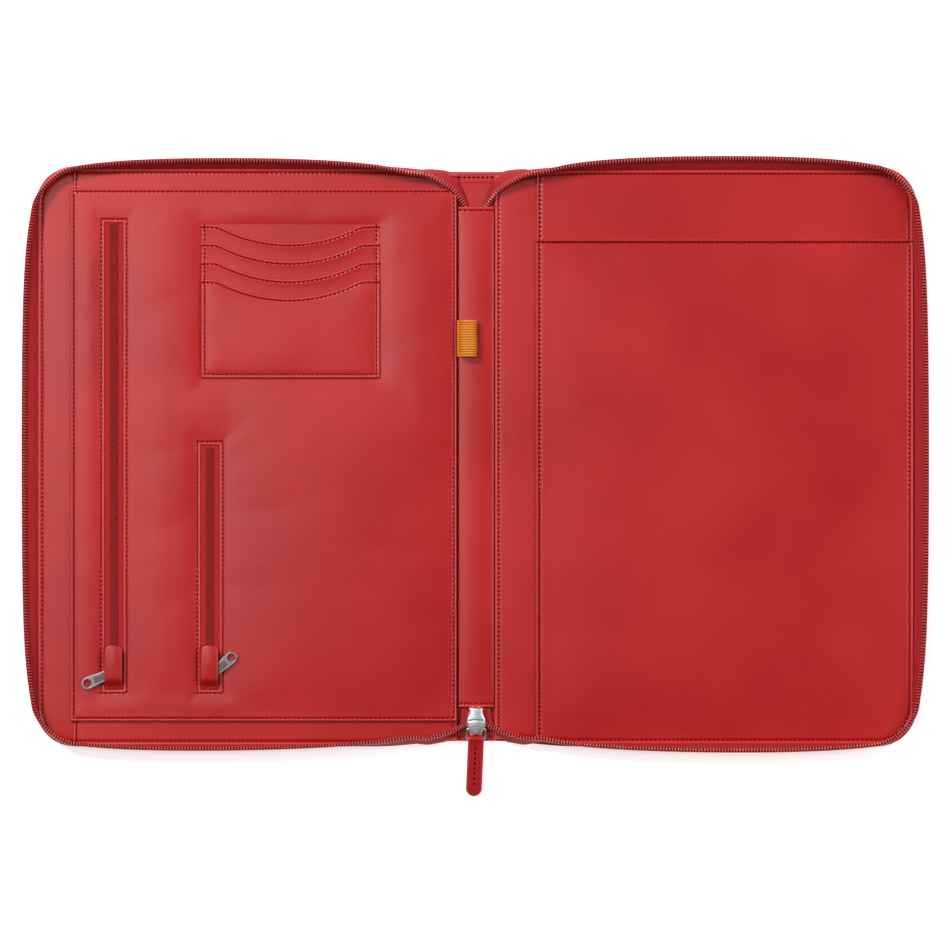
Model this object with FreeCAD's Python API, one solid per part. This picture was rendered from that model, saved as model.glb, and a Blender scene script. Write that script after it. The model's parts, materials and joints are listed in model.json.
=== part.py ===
"""Zip-around portfolio case in leather cloth, lying open and flat on a table.

Frame: the origin is the centre of the spine on the table face. +X points to the right cover,
+Y to the case's top edge and +Z up, out of the open case. All lengths are in millimetres.
"""
import FreeCAD, Part
import math
import os

from FreeCAD import Vector

# ---- driving dimensions -------------------------------------------------------------------
COVER_REACH = 264.5          # spine centre line to a cover's outer edge
COVER_HALF_HEIGHT = 174.5    # case centre line to the top and bottom edges of a cover
SPINE_HALF_HEIGHT = 171.0    # the same at the spine, where the shell is drawn in
TAPER_X = 60.0               # where the drawn-in edge has come back to full height
CORNER_RADIUS = 24.0         # outer corners of the shell

HINGE_X = 10.1               # fold lines, left and right of the spine's centre line
FOLD_GAP = 0.3               # a layer's edge to its fold line
ORGANISER_EDGE_X = -11.4     # inner edge of everything sewn on the left cover
RIGHT_LINER_EDGE_X = 11.0    # inner edge of the right cover's liner

# Layers, from the table up.
SHELL_TOP = 1.2
BOARD_TOP = 2.8
LINER_TOP = 3.6
BACK_POCKET_TOP = 4.5
FRONT_POCKET_TOP = 5.4
BAG_TOP = 5.3
SMALL_TAPE_TOP = 5.7
ORGANISER_TOP = 6.7
CARD_LAYER = 0.5

BOARD_INSET = 8.0            # each layer's edge, inside the shell's edge
LINER_INSET = 1.6
POCKET_INSET = 3.0

# Zip walls, which stand on the shell between its edge and the liner.
WALL_INSET = 0.8
WALL_THICKNESS = 0.6
WALL_KNEE_Z = 4.0            # upright up to here, leaning above
TAPE_SLOPE = 6.8             # leaning part of the tape
CHAIN_SLOPE = 3.0            # coil beyond the tape's end
CHAIN_THICKNESS = 2.2
WALL_START_X = 24.0          # the walls end clear of the fold lines
CORNER_LEAN = -25.0          # degrees, positive outwards
SPINE_LEAN = -50.0
SPINE_LEAN_X = 18.0
CORNER_DECAY = 38.0          # how far along the edge a corner's lean dies away
RIGHT_LEANS = {"top": 50.0, "side": 50.0, "bottom": 32.0, "top_decay": 43.0, "bottom_decay": 50.0}
LEFT_LEANS = {"top": 40.0, "side": 62.0, "bottom": 22.0, "top_decay": 43.0, "bottom_decay": 65.0}

# Right cover pockets.
RIGHT_POCKET_X = 36.0
FRONT_POCKET_Y = 130.6

# Left cover organiser.
LEFT_POCKET_X = -241.5
ORGANISER_LEFT_X = -243.0
ORGANISER_TOP_Y = 160.0
ORGANISER_BOTTOM_Y = -158.4
WINDOW_WIDTH = 11.0
WINDOW_BOTTOM_Y = -139.2
LONG_ZIP = {"x": -216.8, "top": 140.2, "slider_y": -128.5, "pull_angle": 204.0,
            "bag": (-238.0, -172.0, 152.0)}
SHORT_ZIP = {"x": -159.3, "top": 7.0, "slider_y": -131.0, "pull_angle": 40.0,
             "bag": (-170.0, -20.0, 22.0)}
BAG_BOTTOM_Y = -152.0
BAG_MOUTH_WIDTH = 8.4

CARD_LEFT_X = -164.4
CARD_RIGHT_X = -57.6
CARD_BOTTOM_Y = 47.2
CARD_FIRST_TOP_Y = 139.3
CARD_STEP = 11.0
CARD_SHOULDER = 9.6          # straight edge at the left of a scoop
CARD_SCOOP_RIGHT_X = -68.6
CARD_SCOOP_DEPTH = 11.0
CARD_SLOTS = 4

# Small zips: two tapes and two coils with a slit between them for the slider's post.
SLIT_HALF = 0.7
SMALL_TAPE_HALF = 12.0
SMALL_COIL_HALF = 2.6
SMALL_COIL_TOP = 7.1
COIL_END_GAP = 0.4
SMALL_SLIDER_HALF_WIDTH = 3.6
SMALL_SLIDER_HALF_LENGTH = 4.5
SLIDER_PLATE = 0.5
POST_HALF = 0.5
POST_LENGTH = 2.0
SWIVEL_RADIUS = 1.1
SWIVEL_HOLE_RADIUS = 1.4
SWIVEL_HEAD_RADIUS = 2.1
PULL_BOTTOM_Z = 8.5
PULL_THICKNESS = 1.2
PULL_REACH = 17.0            # swivel to the centre of the eye
PULL_HALF_WIDTH = 3.6
PULL_EYE_RADIUS = 2.4
PULL_TOE_RADIUS = 2.9

# Leather flaps that garage the small sliders.
FLAP_WIDTH = 10.6
FLAP_THICKNESS = 1.0
FLAP_UNDERSIDE_Z = 10.8
FLAP_ROOT_Z = 5.9
FLAP_ROOT_Y = -138.7
FLAP_BEND_Y = -135.4
FLAP_END_Y = -112.6

# Spine.
STRIP_HALF_WIDTH = 10.3
STRIP_HALF_LENGTH = 150.0
STRIP_BOTTOM_Z = 3.9
STRIP_THICKNESS = 0.8
STIFFENER_HALF_WIDTH = 8.5
STIFFENER_HALF_LENGTH = 136.0
TAIL_START_Y = 138.0
TAIL_TOP_END_Y = 157.0
TAIL_BOTTOM_END_Y = 167.0
TAIL_TAPE_Z = 2.2
TAIL_TAPE_TOP_Z = 2.6
TAIL_COIL_TOP_Z = 3.8
TAIL_TAPE_HALF = 8.2
TAIL_COIL_HALF = 2.9

# Pen loop: ribbed elastic, sewn under the organiser's inner edge.
LOOP_Y = (59.8, 81.8)
LOOP_X = (-10.0, 0.6)
LOOP_Z = (5.5, 13.5)
LOOP_THICKNESS = 0.9
LOOP_CORNER = 3.4
LOOP_TONGUE_X = -11.0
LOOP_TONGUE_Z = (5.1, 5.55)
LOOP_TONGUE_END_X = -3.0

# Main slider, wire ring and leather pull.
SLIDER_TOP_Y = -151.0
SLIDER_WIDE_Y = -158.6
SLIDER_TIP_Y = -166.4
SLIDER_HALF_NARROW = 4.1
SLIDER_HALF_WIDE = 5.5
SLIDER_HALF_TIP = 3.2
SLIDER_BASE_Z = (1.3, 1.9)
SLIDER_DECK_Z = (4.1, 5.2)
SLIDER_FLANGE_Z = 2.9
SLIDER_FLANGE_IN = 3.2
SLIDER_FLANGE_OUT = 4.0
CAP_TOP_Z = 8.9
CAP_INSET = 0.7
CAP_ROUNDING = 1.5
BAIL_Y = -162.6
BAIL_Z = 7.0
BAIL_HOLE_RADIUS = 1.05
WIRE_RADIUS = 0.7
RING_HALF_WIDTH = 5.6        # ring centre line to its side bars
RING_REACH = 6.4             # near bar to far bar
RING_TILT = 10.0             # degrees below level
STRAP_WIDTH = 9.2
STRAP_HALF_THICKNESS = 1.2
STRAP_EYE_RADIUS = 2.2
STRAP_HOLE_RADIUS = 1.0
STRAP_REACH = 34.6           # ring bar to the strap's tip
STRAP_TILT = 7.6
STRAP_LEAN = 2.4             # degrees to the left, seen from above


# ---- helpers ------------------------------------------------------------------------------
def box(x_range, y_range, z_range):
    """Solid block between three pairs of limits."""
    low = Vector(min(x_range), min(y_range), min(z_range))
    high = Vector(max(x_range), max(y_range), max(z_range))
    size = high - low
    return Part.makeBox(size.x, size.y, size.z, low)


def slab(wire, z_low, z_high):
    """Flat sheet: the area inside a wire drawn at z = 0, lifted and thickened."""
    face = Part.Face(wire)
    face.translate(Vector(0, 0, z_low))
    return face.extrude(Vector(0, 0, z_high - z_low))


def line(start, end):
    return Part.makeLine(start, end)


def arc(start, middle, end):
    return Part.Arc(start, middle, end).toShape()


def disc(centre, radius, z_low, z_high):
    return Part.makeCylinder(radius, z_high - z_low, Vector(centre[0], centre[1], z_low))


def mirrored(shape):
    """The same shape on the other side of the spine."""
    return shape.mirror(Vector(0, 0, 0), Vector(1, 0, 0))


def joined(shapes):
    """One solid from several that touch or overlap."""
    return shapes[0].fuse(shapes[1:]).removeSplitter()


def write(node, shape):
    shape.exportStep(os.path.join("parts", node + ".step"))
    print(node, round(shape.Volume, 1), shape.isValid(), len(shape.Solids))


# ---- cover layers -------------------------------------------------------------------------
def edge_height(x):
    """Half height of the shell's edge at a distance x from the spine's centre line."""
    if x >= TAPER_X:
        return COVER_HALF_HEIGHT
    share = (x - HINGE_X) / (TAPER_X - HINGE_X)
    return SPINE_HALF_HEIGHT + share * (COVER_HALF_HEIGHT - SPINE_HALF_HEIGHT)


def cover_wire(inner_x, inset):
    """Outline of a right-hand layer, drawn `inset` inside the shell's edge."""
    reach = COVER_REACH - inset
    top = COVER_HALF_HEIGHT - inset
    radius = CORNER_RADIUS - inset
    straight_x = reach - radius
    straight_y = top - radius
    diagonal = radius * math.sqrt(0.5)
    half = []
    if inner_x < TAPER_X:
        inner_y = edge_height(inner_x) - inset
        half.append(line(Vector(inner_x, inner_y), Vector(TAPER_X, top)))
        half.append(line(Vector(TAPER_X, top), Vector(straight_x, top)))
    else:
        inner_y = top
        half.append(line(Vector(inner_x, top), Vector(straight_x, top)))
    corner_middle = Vector(straight_x + diagonal, straight_y + diagonal)
    half.append(arc(Vector(straight_x, top), corner_middle, Vector(reach, straight_y)))
    half.append(line(Vector(reach, straight_y), Vector(reach, 0)))
    other = [edge.mirror(Vector(0, 0, 0), Vector(0, 1, 0)) for edge in half]
    closing = line(Vector(inner_x, inner_y), Vector(inner_x, -inner_y))
    return Part.Wire(Part.__sortEdges__(half + other + [closing]))


def cover_layer(inner_x, inset, z_low, z_high):
    return slab(cover_wire(inner_x, inset), z_low, z_high)


def make_right_cover():
    write("right_outer_shell", cover_layer(HINGE_X + FOLD_GAP, 0, 0, SHELL_TOP))
    write("right_board", cover_layer(RIGHT_LINER_EDGE_X + 2, BOARD_INSET, SHELL_TOP, BOARD_TOP))
    write("right_base_liner", cover_layer(RIGHT_LINER_EDGE_X, LINER_INSET, BOARD_TOP, LINER_TOP))
    write("right_back_pocket", cover_layer(RIGHT_POCKET_X, POCKET_INSET, LINER_TOP, BACK_POCKET_TOP))
    pocket = cover_layer(RIGHT_POCKET_X, POCKET_INSET, BACK_POCKET_TOP, FRONT_POCKET_TOP)
    below_mouth = box((0, COVER_REACH), (-COVER_HALF_HEIGHT, FRONT_POCKET_Y), (0, WALL_KNEE_Z * 2))
    write("right_front_pocket", pocket.common(below_mouth))


def make_left_cover():
    write("left_outer_shell", mirrored(cover_layer(HINGE_X + FOLD_GAP, 0, 0, SHELL_TOP)))
    edge = -ORGANISER_EDGE_X
    write("left_board", mirrored(cover_layer(edge + 2, BOARD_INSET, SHELL_TOP, BOARD_TOP)))
    write("left_base_liner", mirrored(cover_layer(edge, LINER_INSET, BOARD_TOP, LINER_TOP)))
    panel = mirrored(cover_layer(edge, POCKET_INSET, LINER_TOP, BACK_POCKET_TOP))
    inside_fold = box((LEFT_POCKET_X, 0), (-COVER_HALF_HEIGHT, COVER_HALF_HEIGHT), (0, BACK_POCKET_TOP))
    write("left_back_pocket", panel.common(inside_fold))


# ---- zip walls ----------------------------------------------------------------------------
def decay(distance, reach):
    return math.exp(-distance / reach)


def edge_lean(x, middle, spine_decay):
    """Lean of a wall on the top or bottom edge, in degrees."""
    corner_distance = COVER_REACH - CORNER_RADIUS - x + CORNER_RADIUS * math.pi / 4
    lean = middle - (middle - CORNER_LEAN) * decay(corner_distance, CORNER_DECAY)
    return lean - (middle - SPINE_LEAN) * decay(x - SPINE_LEAN_X, spine_decay)


def side_lean(y, middle):
    """Lean of a wall on the outer side, in degrees."""
    corner_distance = COVER_HALF_HEIGHT - CORNER_RADIUS - abs(y) + CORNER_RADIUS * math.pi / 4
    return middle - (middle - CORNER_LEAN) * decay(corner_distance, CORNER_DECAY)


def corner_lean(angle, start, end):
    """Lean through a corner, from one edge's value past the corner's own and up to the next."""
    dip = math.sin(angle * 2)
    straight = start + (end - start) * angle / (math.pi / 2)
    return straight + (CORNER_LEAN - (start + end) / 2) * dip


def wall_stations(leans):
    """Points along the right-hand seam: (x, y, outward direction in radians, lean in degrees)."""
    centre_x = COVER_REACH - CORNER_RADIUS
    centre_y = COVER_HALF_HEIGHT - CORNER_RADIUS
    radius = CORNER_RADIUS - WALL_INSET
    top = []
    for x in (WALL_START_X, 32, 42, TAPER_X, 80, 110, 150, 185, 210, 226, centre_x):
        top.append((x, edge_height(x) - WALL_INSET, math.pi / 2, edge_lean(x, leans["top"], leans["top_decay"])))
    side_top = side_lean(centre_y, leans["side"])
    corner = []
    for step in range(1, 6):
        angle = math.pi / 2 * step / 6
        direction = math.pi / 2 - angle
        lean = corner_lean(angle, top[-1][3], side_top)
        corner.append((centre_x + radius * math.cos(direction), centre_y + radius * math.sin(direction),
                       direction, lean))
    side = []
    for y in (centre_y, 138, 122, 98, 60, 20, -20, -60, -98, -122, -138, -centre_y):
        side.append((COVER_REACH - WALL_INSET, y, 0.0, side_lean(y, leans["side"])))
    bottom = []
    for x in (centre_x, 226, 210, 185, 150, 110, 80, TAPER_X, 42, 32, WALL_START_X):
        bottom.append((x, WALL_INSET - edge_height(x), -math.pi / 2,
                       edge_lean(x, leans["bottom"], leans["bottom_decay"])))
    lower_corner = []
    for step in range(1, 6):
        angle = math.pi / 2 * step / 6
        lean = corner_lean(angle, side_top, bottom[0][3])
        lower_corner.append((centre_x + radius * math.cos(angle), -centre_y - radius * math.sin(angle),
                             -angle, lean))
    return top + corner + side + lower_corner + bottom


def section(station, profile):
    """Closed wire of (outward, height) points, stood upright at a station of the seam."""
    x, y, direction, _ = station
    corners = []
    for out, height in profile:
        corners.append(Vector(x + out * math.cos(direction), y + out * math.sin(direction), height))
    return Part.makePolygon(corners + [corners[0]])


def slope_point(station, along, across):
    """A point on the leaning part: `along` the slope from the knee and `across` to its outside."""
    lean = math.radians(station[3])
    middle = -WALL_THICKNESS / 2
    out = middle + along * math.sin(lean) + across * math.cos(lean)
    return out, WALL_KNEE_Z + along * math.cos(lean) - across * math.sin(lean)


def tape_profile(station):
    half = WALL_THICKNESS / 2
    return [
        (0, SHELL_TOP),
        (0, WALL_KNEE_Z),
        slope_point(station, TAPE_SLOPE, half),
        slope_point(station, TAPE_SLOPE, -half),
        (-WALL_THICKNESS, WALL_KNEE_Z),
        (-WALL_THICKNESS, SHELL_TOP),
    ]


def chain_profile(station):
    half = CHAIN_THICKNESS / 2
    end = TAPE_SLOPE + CHAIN_SLOPE
    return [
        slope_point(station, TAPE_SLOPE, half),
        slope_point(station, end, half),
        slope_point(station, end, -half),
        slope_point(station, TAPE_SLOPE, -half),
    ]


def wall(leans, profile):
    stations = wall_stations(leans)
    sections = [section(station, profile(station)) for station in stations]
    return Part.makeLoft(sections, True, True)


def make_zip_walls():
    write("right_zip_tape", wall(RIGHT_LEANS, tape_profile))
    write("right_zip_chain", wall(RIGHT_LEANS, chain_profile))
    write("left_zip_tape", mirrored(wall(LEFT_LEANS, tape_profile)))
    write("left_zip_chain", mirrored(wall(LEFT_LEANS, chain_profile)))


# ---- organiser ----------------------------------------------------------------------------
def window(zip_data):
    half = WINDOW_WIDTH / 2
    return box((zip_data["x"] - half, zip_data["x"] + half), (WINDOW_BOTTOM_Y, zip_data["top"]),
               (BAG_TOP, ORGANISER_TOP + 1))


def make_organiser():
    panel = box((ORGANISER_LEFT_X, ORGANISER_EDGE_X), (ORGANISER_BOTTOM_Y, ORGANISER_TOP_Y),
                (SMALL_TAPE_TOP, ORGANISER_TOP))
    write("organiser_panel", panel.cut(window(LONG_ZIP)).cut(window(SHORT_ZIP)))


def make_card_slots():
    for index in range(CARD_SLOTS):
        top = CARD_FIRST_TOP_Y - CARD_STEP * index
        scoop_left = CARD_LEFT_X + CARD_SHOULDER
        scoop_middle = Vector((scoop_left + CARD_SCOOP_RIGHT_X) / 2, top - CARD_SCOOP_DEPTH)
        edges = [
            line(Vector(CARD_LEFT_X, CARD_BOTTOM_Y), Vector(CARD_RIGHT_X, CARD_BOTTOM_Y)),
            line(Vector(CARD_RIGHT_X, CARD_BOTTOM_Y), Vector(CARD_RIGHT_X, top)),
            line(Vector(CARD_RIGHT_X, top), Vector(CARD_SCOOP_RIGHT_X, top)),
            arc(Vector(CARD_SCOOP_RIGHT_X, top), scoop_middle, Vector(scoop_left, top)),
            line(Vector(scoop_left, top), Vector(CARD_LEFT_X, top)),
            line(Vector(CARD_LEFT_X, top), Vector(CARD_LEFT_X, CARD_BOTTOM_Y)),
        ]
        z_low = ORGANISER_TOP + CARD_LAYER * index
        write("card_slot_%d" % (index + 1), slab(Part.Wire(edges), z_low, z_low + CARD_LAYER))


def make_pocket_bag(name, zip_data):
    """Lining bag behind a small zip, with its mouth open along the coil."""
    left, right, top = zip_data["bag"]
    bag = box((left, right), (BAG_BOTTOM_Y, top), (BACK_POCKET_TOP, BAG_TOP))
    half = BAG_MOUTH_WIDTH / 2
    mouth = box((zip_data["x"] - half, zip_data["x"] + half), (WINDOW_BOTTOM_Y, zip_data["top"]),
                (BACK_POCKET_TOP - 1, BAG_TOP + 1))
    write(name + "_pocket_bag", bag.cut(mouth))


def make_small_zip(name, zip_data):
    """Two tapes and two coils, either side of the slit in which the slider's post runs."""
    coil_end = zip_data["slider_y"] - SMALL_SLIDER_HALF_LENGTH - COIL_END_GAP
    for side, sign in (("left", -1), ("right", 1)):
        inner = zip_data["x"] + sign * SLIT_HALF
        tape = box((inner, zip_data["x"] + sign * SMALL_TAPE_HALF),
                   (BAG_BOTTOM_Y + 4, zip_data["top"] + 8), (BAG_TOP, SMALL_TAPE_TOP))
        write("%s_zip_%s_tape" % (name, side), tape)
        coil = box((inner, zip_data["x"] + sign * SMALL_COIL_HALF),
                   (coil_end, zip_data["top"] - COIL_END_GAP), (SMALL_TAPE_TOP, SMALL_COIL_TOP))
        long_edges = [edge for edge in coil.Edges if abs(edge.tangentAt(0).y) > 0.9
                      and edge.CenterOfMass.z > SMALL_TAPE_TOP + 0.1]
        write("%s_zip_%s_coil" % (name, side), coil.makeChamfer(0.4, long_edges))


def make_small_slider(name, zip_data):
    """Cast slider: a deck with side flanges over the coil, a post through the slit, a back plate."""
    x = zip_data["x"]
    y = zip_data["slider_y"]
    y_range = (y - SMALL_SLIDER_HALF_LENGTH, y + SMALL_SLIDER_HALF_LENGTH)
    x_range = (x - SMALL_SLIDER_HALF_WIDTH, x + SMALL_SLIDER_HALF_WIDTH)
    deck_low = SMALL_COIL_TOP + 0.3
    deck_high = PULL_BOTTOM_Z - 0.3
    back_low = BACK_POCKET_TOP + 0.1
    back_high = back_low + SLIDER_PLATE
    deck = box(x_range, y_range, (deck_low, deck_high))
    deck_edges = [edge for edge in deck.Edges if abs(edge.tangentAt(0).z) > 0.9]
    parts = [deck.makeFillet(2.2, deck_edges), box(x_range, y_range, (back_low, back_high))]
    for sign in (-1, 1):
        flange_x = (x + sign * (SMALL_COIL_HALF + 0.4), x + sign * SMALL_SLIDER_HALF_WIDTH)
        flange_y = (y_range[0] + 2.2, y_range[1] - 2.2)
        parts.append(box(flange_x, flange_y, (SMALL_TAPE_TOP + 0.2, deck_low)))
    parts.append(box((x - POST_HALF, x + POST_HALF), (y_range[0], y_range[0] + POST_LENGTH),
                     (back_high, deck_low)))
    head_low = PULL_BOTTOM_Z + PULL_THICKNESS + 0.2
    parts.append(disc((x, y), SWIVEL_RADIUS, deck_high, head_low))
    parts.append(disc((x, y), SWIVEL_HEAD_RADIUS, head_low, FLAP_UNDERSIDE_Z - 0.3))
    write(name + "_slider", joined(parts))


def make_small_pull(name, zip_data):
    """Flat metal pull: a narrow toe on the swivel, widening to a round end with an eye."""
    z_high = PULL_BOTTOM_Z + PULL_THICKNESS
    neck_x = PULL_TOE_RADIUS * 0.5
    neck_y = PULL_TOE_RADIUS * math.sqrt(0.75)
    wide_x = PULL_REACH - PULL_HALF_WIDTH * 2
    upper = [
        line(Vector(neck_x, neck_y), Vector(wide_x, PULL_HALF_WIDTH)),
        line(Vector(wide_x, PULL_HALF_WIDTH), Vector(PULL_REACH, PULL_HALF_WIDTH)),
    ]
    lower = [edge.mirror(Vector(0, 0, 0), Vector(0, 1, 0)) for edge in upper]
    ends = [
        arc(Vector(PULL_REACH, PULL_HALF_WIDTH), Vector(PULL_REACH + PULL_HALF_WIDTH, 0),
            Vector(PULL_REACH, -PULL_HALF_WIDTH)),
        arc(Vector(neck_x, -neck_y), Vector(-PULL_TOE_RADIUS, 0), Vector(neck_x, neck_y)),
    ]
    outline = Part.Wire(Part.__sortEdges__(upper + lower + ends))
    pull = slab(outline, PULL_BOTTOM_Z, z_high)
    pull = pull.cut(disc((0, 0), SWIVEL_HOLE_RADIUS, PULL_BOTTOM_Z - 1, z_high + 1))
    pull = pull.cut(disc((PULL_REACH, 0), PULL_EYE_RADIUS, PULL_BOTTOM_Z - 1, z_high + 1))
    pull.rotate(Vector(0, 0, 0), Vector(0, 0, 1), zip_data["pull_angle"])
    pull.translate(Vector(zip_data["x"], zip_data["slider_y"], 0))
    write(name + "_pull", pull)
    angle = math.radians(zip_data["pull_angle"])
    print(name, "eye at", zip_data["x"] + PULL_REACH * math.cos(angle),
          zip_data["slider_y"] + PULL_REACH * math.sin(angle), (PULL_BOTTOM_Z + z_high) / 2)


def make_flap(name, zip_data):
    """Leather flap over a slider: sewn at its foot, bent up, then level, with a round free end."""
    top = FLAP_UNDERSIDE_Z + FLAP_THICKNESS
    side = [
        Vector(0, FLAP_ROOT_Y, FLAP_ROOT_Z),
        Vector(0, FLAP_ROOT_Y + FLAP_THICKNESS, FLAP_ROOT_Z),
        Vector(0, FLAP_BEND_Y + FLAP_THICKNESS, FLAP_UNDERSIDE_Z),
        Vector(0, FLAP_END_Y, FLAP_UNDERSIDE_Z),
        Vector(0, FLAP_END_Y, top),
        Vector(0, FLAP_BEND_Y, top),
        Vector(0, FLAP_ROOT_Y, FLAP_ROOT_Z + FLAP_THICKNESS),
    ]
    face = Part.Face(Part.makePolygon(side + [side[0]]))
    left = zip_data["x"] - FLAP_WIDTH / 2
    face.translate(Vector(left, 0, 0))
    strip = face.extrude(Vector(FLAP_WIDTH, 0, 0))
    radius = FLAP_WIDTH / 2
    round_end = disc((zip_data["x"], FLAP_END_Y - radius), radius, FLAP_ROOT_Z, top)
    lower = box((left, left + FLAP_WIDTH), (FLAP_ROOT_Y, FLAP_END_Y - radius), (FLAP_ROOT_Z, top))
    write(name + "_flap", strip.common(joined([round_end, lower])))


# ---- spine --------------------------------------------------------------------------------
def make_spine():
    half = HINGE_X - FOLD_GAP
    write("spine_outer_shell", box((-half, half), (-SPINE_HALF_HEIGHT, SPINE_HALF_HEIGHT), (0, SHELL_TOP)))
    board_x = (-STIFFENER_HALF_WIDTH, STIFFENER_HALF_WIDTH)
    board_y = (-STIFFENER_HALF_LENGTH, STIFFENER_HALF_LENGTH)
    write("spine_stiffener", box(board_x, board_y, (SHELL_TOP, BOARD_TOP)))
    write("spine_padding", box(board_x, board_y, (BOARD_TOP, STRIP_BOTTOM_Z)))
    write("spine_inner_strip", box((-STRIP_HALF_WIDTH, STRIP_HALF_WIDTH), (-STRIP_HALF_LENGTH, STRIP_HALF_LENGTH),
                                   (STRIP_BOTTOM_Z, STRIP_BOTTOM_Z + STRIP_THICKNESS)))


def make_tape_tails():
    """Ends of the two zip halves, tucked under the ends of the spine strip."""
    for side, sign in (("left", -1), ("right", 1)):
        for end, y_sign, reach in (("top", 1, TAIL_TOP_END_Y), ("bottom", -1, TAIL_BOTTOM_END_Y)):
            y_range = (y_sign * TAIL_START_Y, y_sign * reach)
            tape = box((sign * SLIT_HALF, sign * TAIL_TAPE_HALF), y_range, (TAIL_TAPE_Z, TAIL_TAPE_TOP_Z))
            coil = box((sign * SLIT_HALF, sign * TAIL_COIL_HALF), y_range, (TAIL_TAPE_TOP_Z, TAIL_COIL_TOP_Z))
            write("%s_%s_zip_tail" % (side, end), joined([tape, coil]))


def rounded_frame(x_range, z_range, radius):
    """Rectangle with rounded corners in the XZ plane, at the loop's lower end."""
    face_box = box(x_range, LOOP_Y, z_range)
    edges = [edge for edge in face_box.Edges if abs(edge.tangentAt(0).y) > 0.9]
    return face_box.makeFillet(radius, edges)


def make_pen_loop():
    outer = rounded_frame(LOOP_X, LOOP_Z, LOOP_CORNER)
    wall_x = (LOOP_X[0] + LOOP_THICKNESS, LOOP_X[1] - LOOP_THICKNESS)
    wall_z = (LOOP_Z[0] + LOOP_THICKNESS, LOOP_Z[1] - LOOP_THICKNESS)
    inner = rounded_frame(wall_x, wall_z, LOOP_CORNER - LOOP_THICKNESS)
    tongue = box((LOOP_TONGUE_X, LOOP_TONGUE_END_X), LOOP_Y, LOOP_TONGUE_Z)
    write("pen_loop", joined([outer, tongue]).cut(inner))


# ---- main slider --------------------------------------------------------------------------
def slider_outline(inset):
    """Shield-shaped outline of the main slider, narrow at the top and at the tip."""
    right = [
        Vector(SLIDER_HALF_NARROW - inset, SLIDER_TOP_Y - inset),
        Vector(SLIDER_HALF_WIDE - inset, SLIDER_WIDE_Y),
        Vector(SLIDER_HALF_TIP - inset, SLIDER_TIP_Y + inset),
    ]
    left = [Vector(-corner.x, corner.y) for corner in reversed(right)]
    corners = right + left
    return Part.makePolygon(corners + [corners[0]])


def make_main_slider():
    base = slab(slider_outline(0), *SLIDER_BASE_Z)
    deck = slab(slider_outline(0), *SLIDER_DECK_Z)
    parts = [base, deck]
    for sign in (-1, 1):
        parts.append(box((sign * SLIDER_FLANGE_IN, sign * SLIDER_FLANGE_OUT),
                         (SLIDER_TOP_Y - 1, SLIDER_TIP_Y + 4), (SLIDER_FLANGE_Z, SLIDER_DECK_Z[0])))
    parts.append(box((-POST_HALF, POST_HALF), (SLIDER_TIP_Y, SLIDER_TIP_Y + 2 * POST_LENGTH),
                     (SLIDER_BASE_Z[1], SLIDER_DECK_Z[0])))
    write("main_slider_body", joined(parts))
    cap = slab(slider_outline(CAP_INSET), SLIDER_DECK_Z[1], CAP_TOP_Z)
    top_edges = [edge for edge in cap.Edges if edge.CenterOfMass.z > CAP_TOP_Z - 0.01]
    cap = cap.makeFillet(CAP_ROUNDING, top_edges)
    bail = Part.makeCylinder(BAIL_HOLE_RADIUS, 20, Vector(-10, BAIL_Y, BAIL_Z), Vector(1, 0, 0))
    write("main_slider_cap", cap.cut(bail))


def tilted(shape, pivot, tilt):
    """Turn a shape drawn level, pointing along -Y, down by tilt degrees about its pivot's X line."""
    shape.rotate(Vector(0, 0, 0), Vector(1, 0, 0), tilt)
    shape.translate(pivot)
    return shape


def make_ring():
    along_x = Vector(1, 0, 0)
    along_y = Vector(0, -1, 0)
    parts = []
    for y in (0, -RING_REACH):
        parts.append(Part.makeCylinder(WIRE_RADIUS, 2 * RING_HALF_WIDTH, Vector(-RING_HALF_WIDTH, y, 0), along_x))
    for x in (-RING_HALF_WIDTH, RING_HALF_WIDTH):
        parts.append(Part.makeCylinder(WIRE_RADIUS, RING_REACH, Vector(x, 0, 0), along_y))
        parts.append(Part.makeSphere(WIRE_RADIUS, Vector(x, 0, 0)))
        parts.append(Part.makeSphere(WIRE_RADIUS, Vector(x, -RING_REACH, 0)))
    ring = tilted(joined(parts), Vector(0, BAIL_Y, BAIL_Z), RING_TILT)
    write("main_pull_ring", ring)


def ring_bar():
    """Centre of the ring's far bar, where the strap hangs."""
    tilt = math.radians(RING_TILT)
    return Vector(0, BAIL_Y - RING_REACH * math.cos(tilt), BAIL_Z - RING_REACH * math.sin(tilt))


def make_strap():
    half = STRAP_WIDTH / 2
    straight = STRAP_REACH - half
    strap = box((-half, half), (-straight, 0), (-STRAP_HALF_THICKNESS, STRAP_HALF_THICKNESS))
    tip = disc((0, -straight), half, -STRAP_HALF_THICKNESS, STRAP_HALF_THICKNESS)
    flat = joined([strap, tip])
    flat.rotate(Vector(0, 0, 0), Vector(0, 0, 1), -STRAP_LEAN)
    eye = Part.makeCylinder(STRAP_EYE_RADIUS, STRAP_WIDTH, Vector(-half, 0, 0), Vector(1, 0, 0))
    hole = Part.makeCylinder(STRAP_HOLE_RADIUS, STRAP_WIDTH * 2, Vector(-STRAP_WIDTH, 0, 0), Vector(1, 0, 0))
    pull = joined([flat, eye]).cut(hole)
    pull = tilted(pull, ring_bar(), STRAP_TILT)
    write("main_leather_pull", pull)
    print("ring bar at", ring_bar(), "strap lowest", pull.BoundBox.ZMin)


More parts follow.
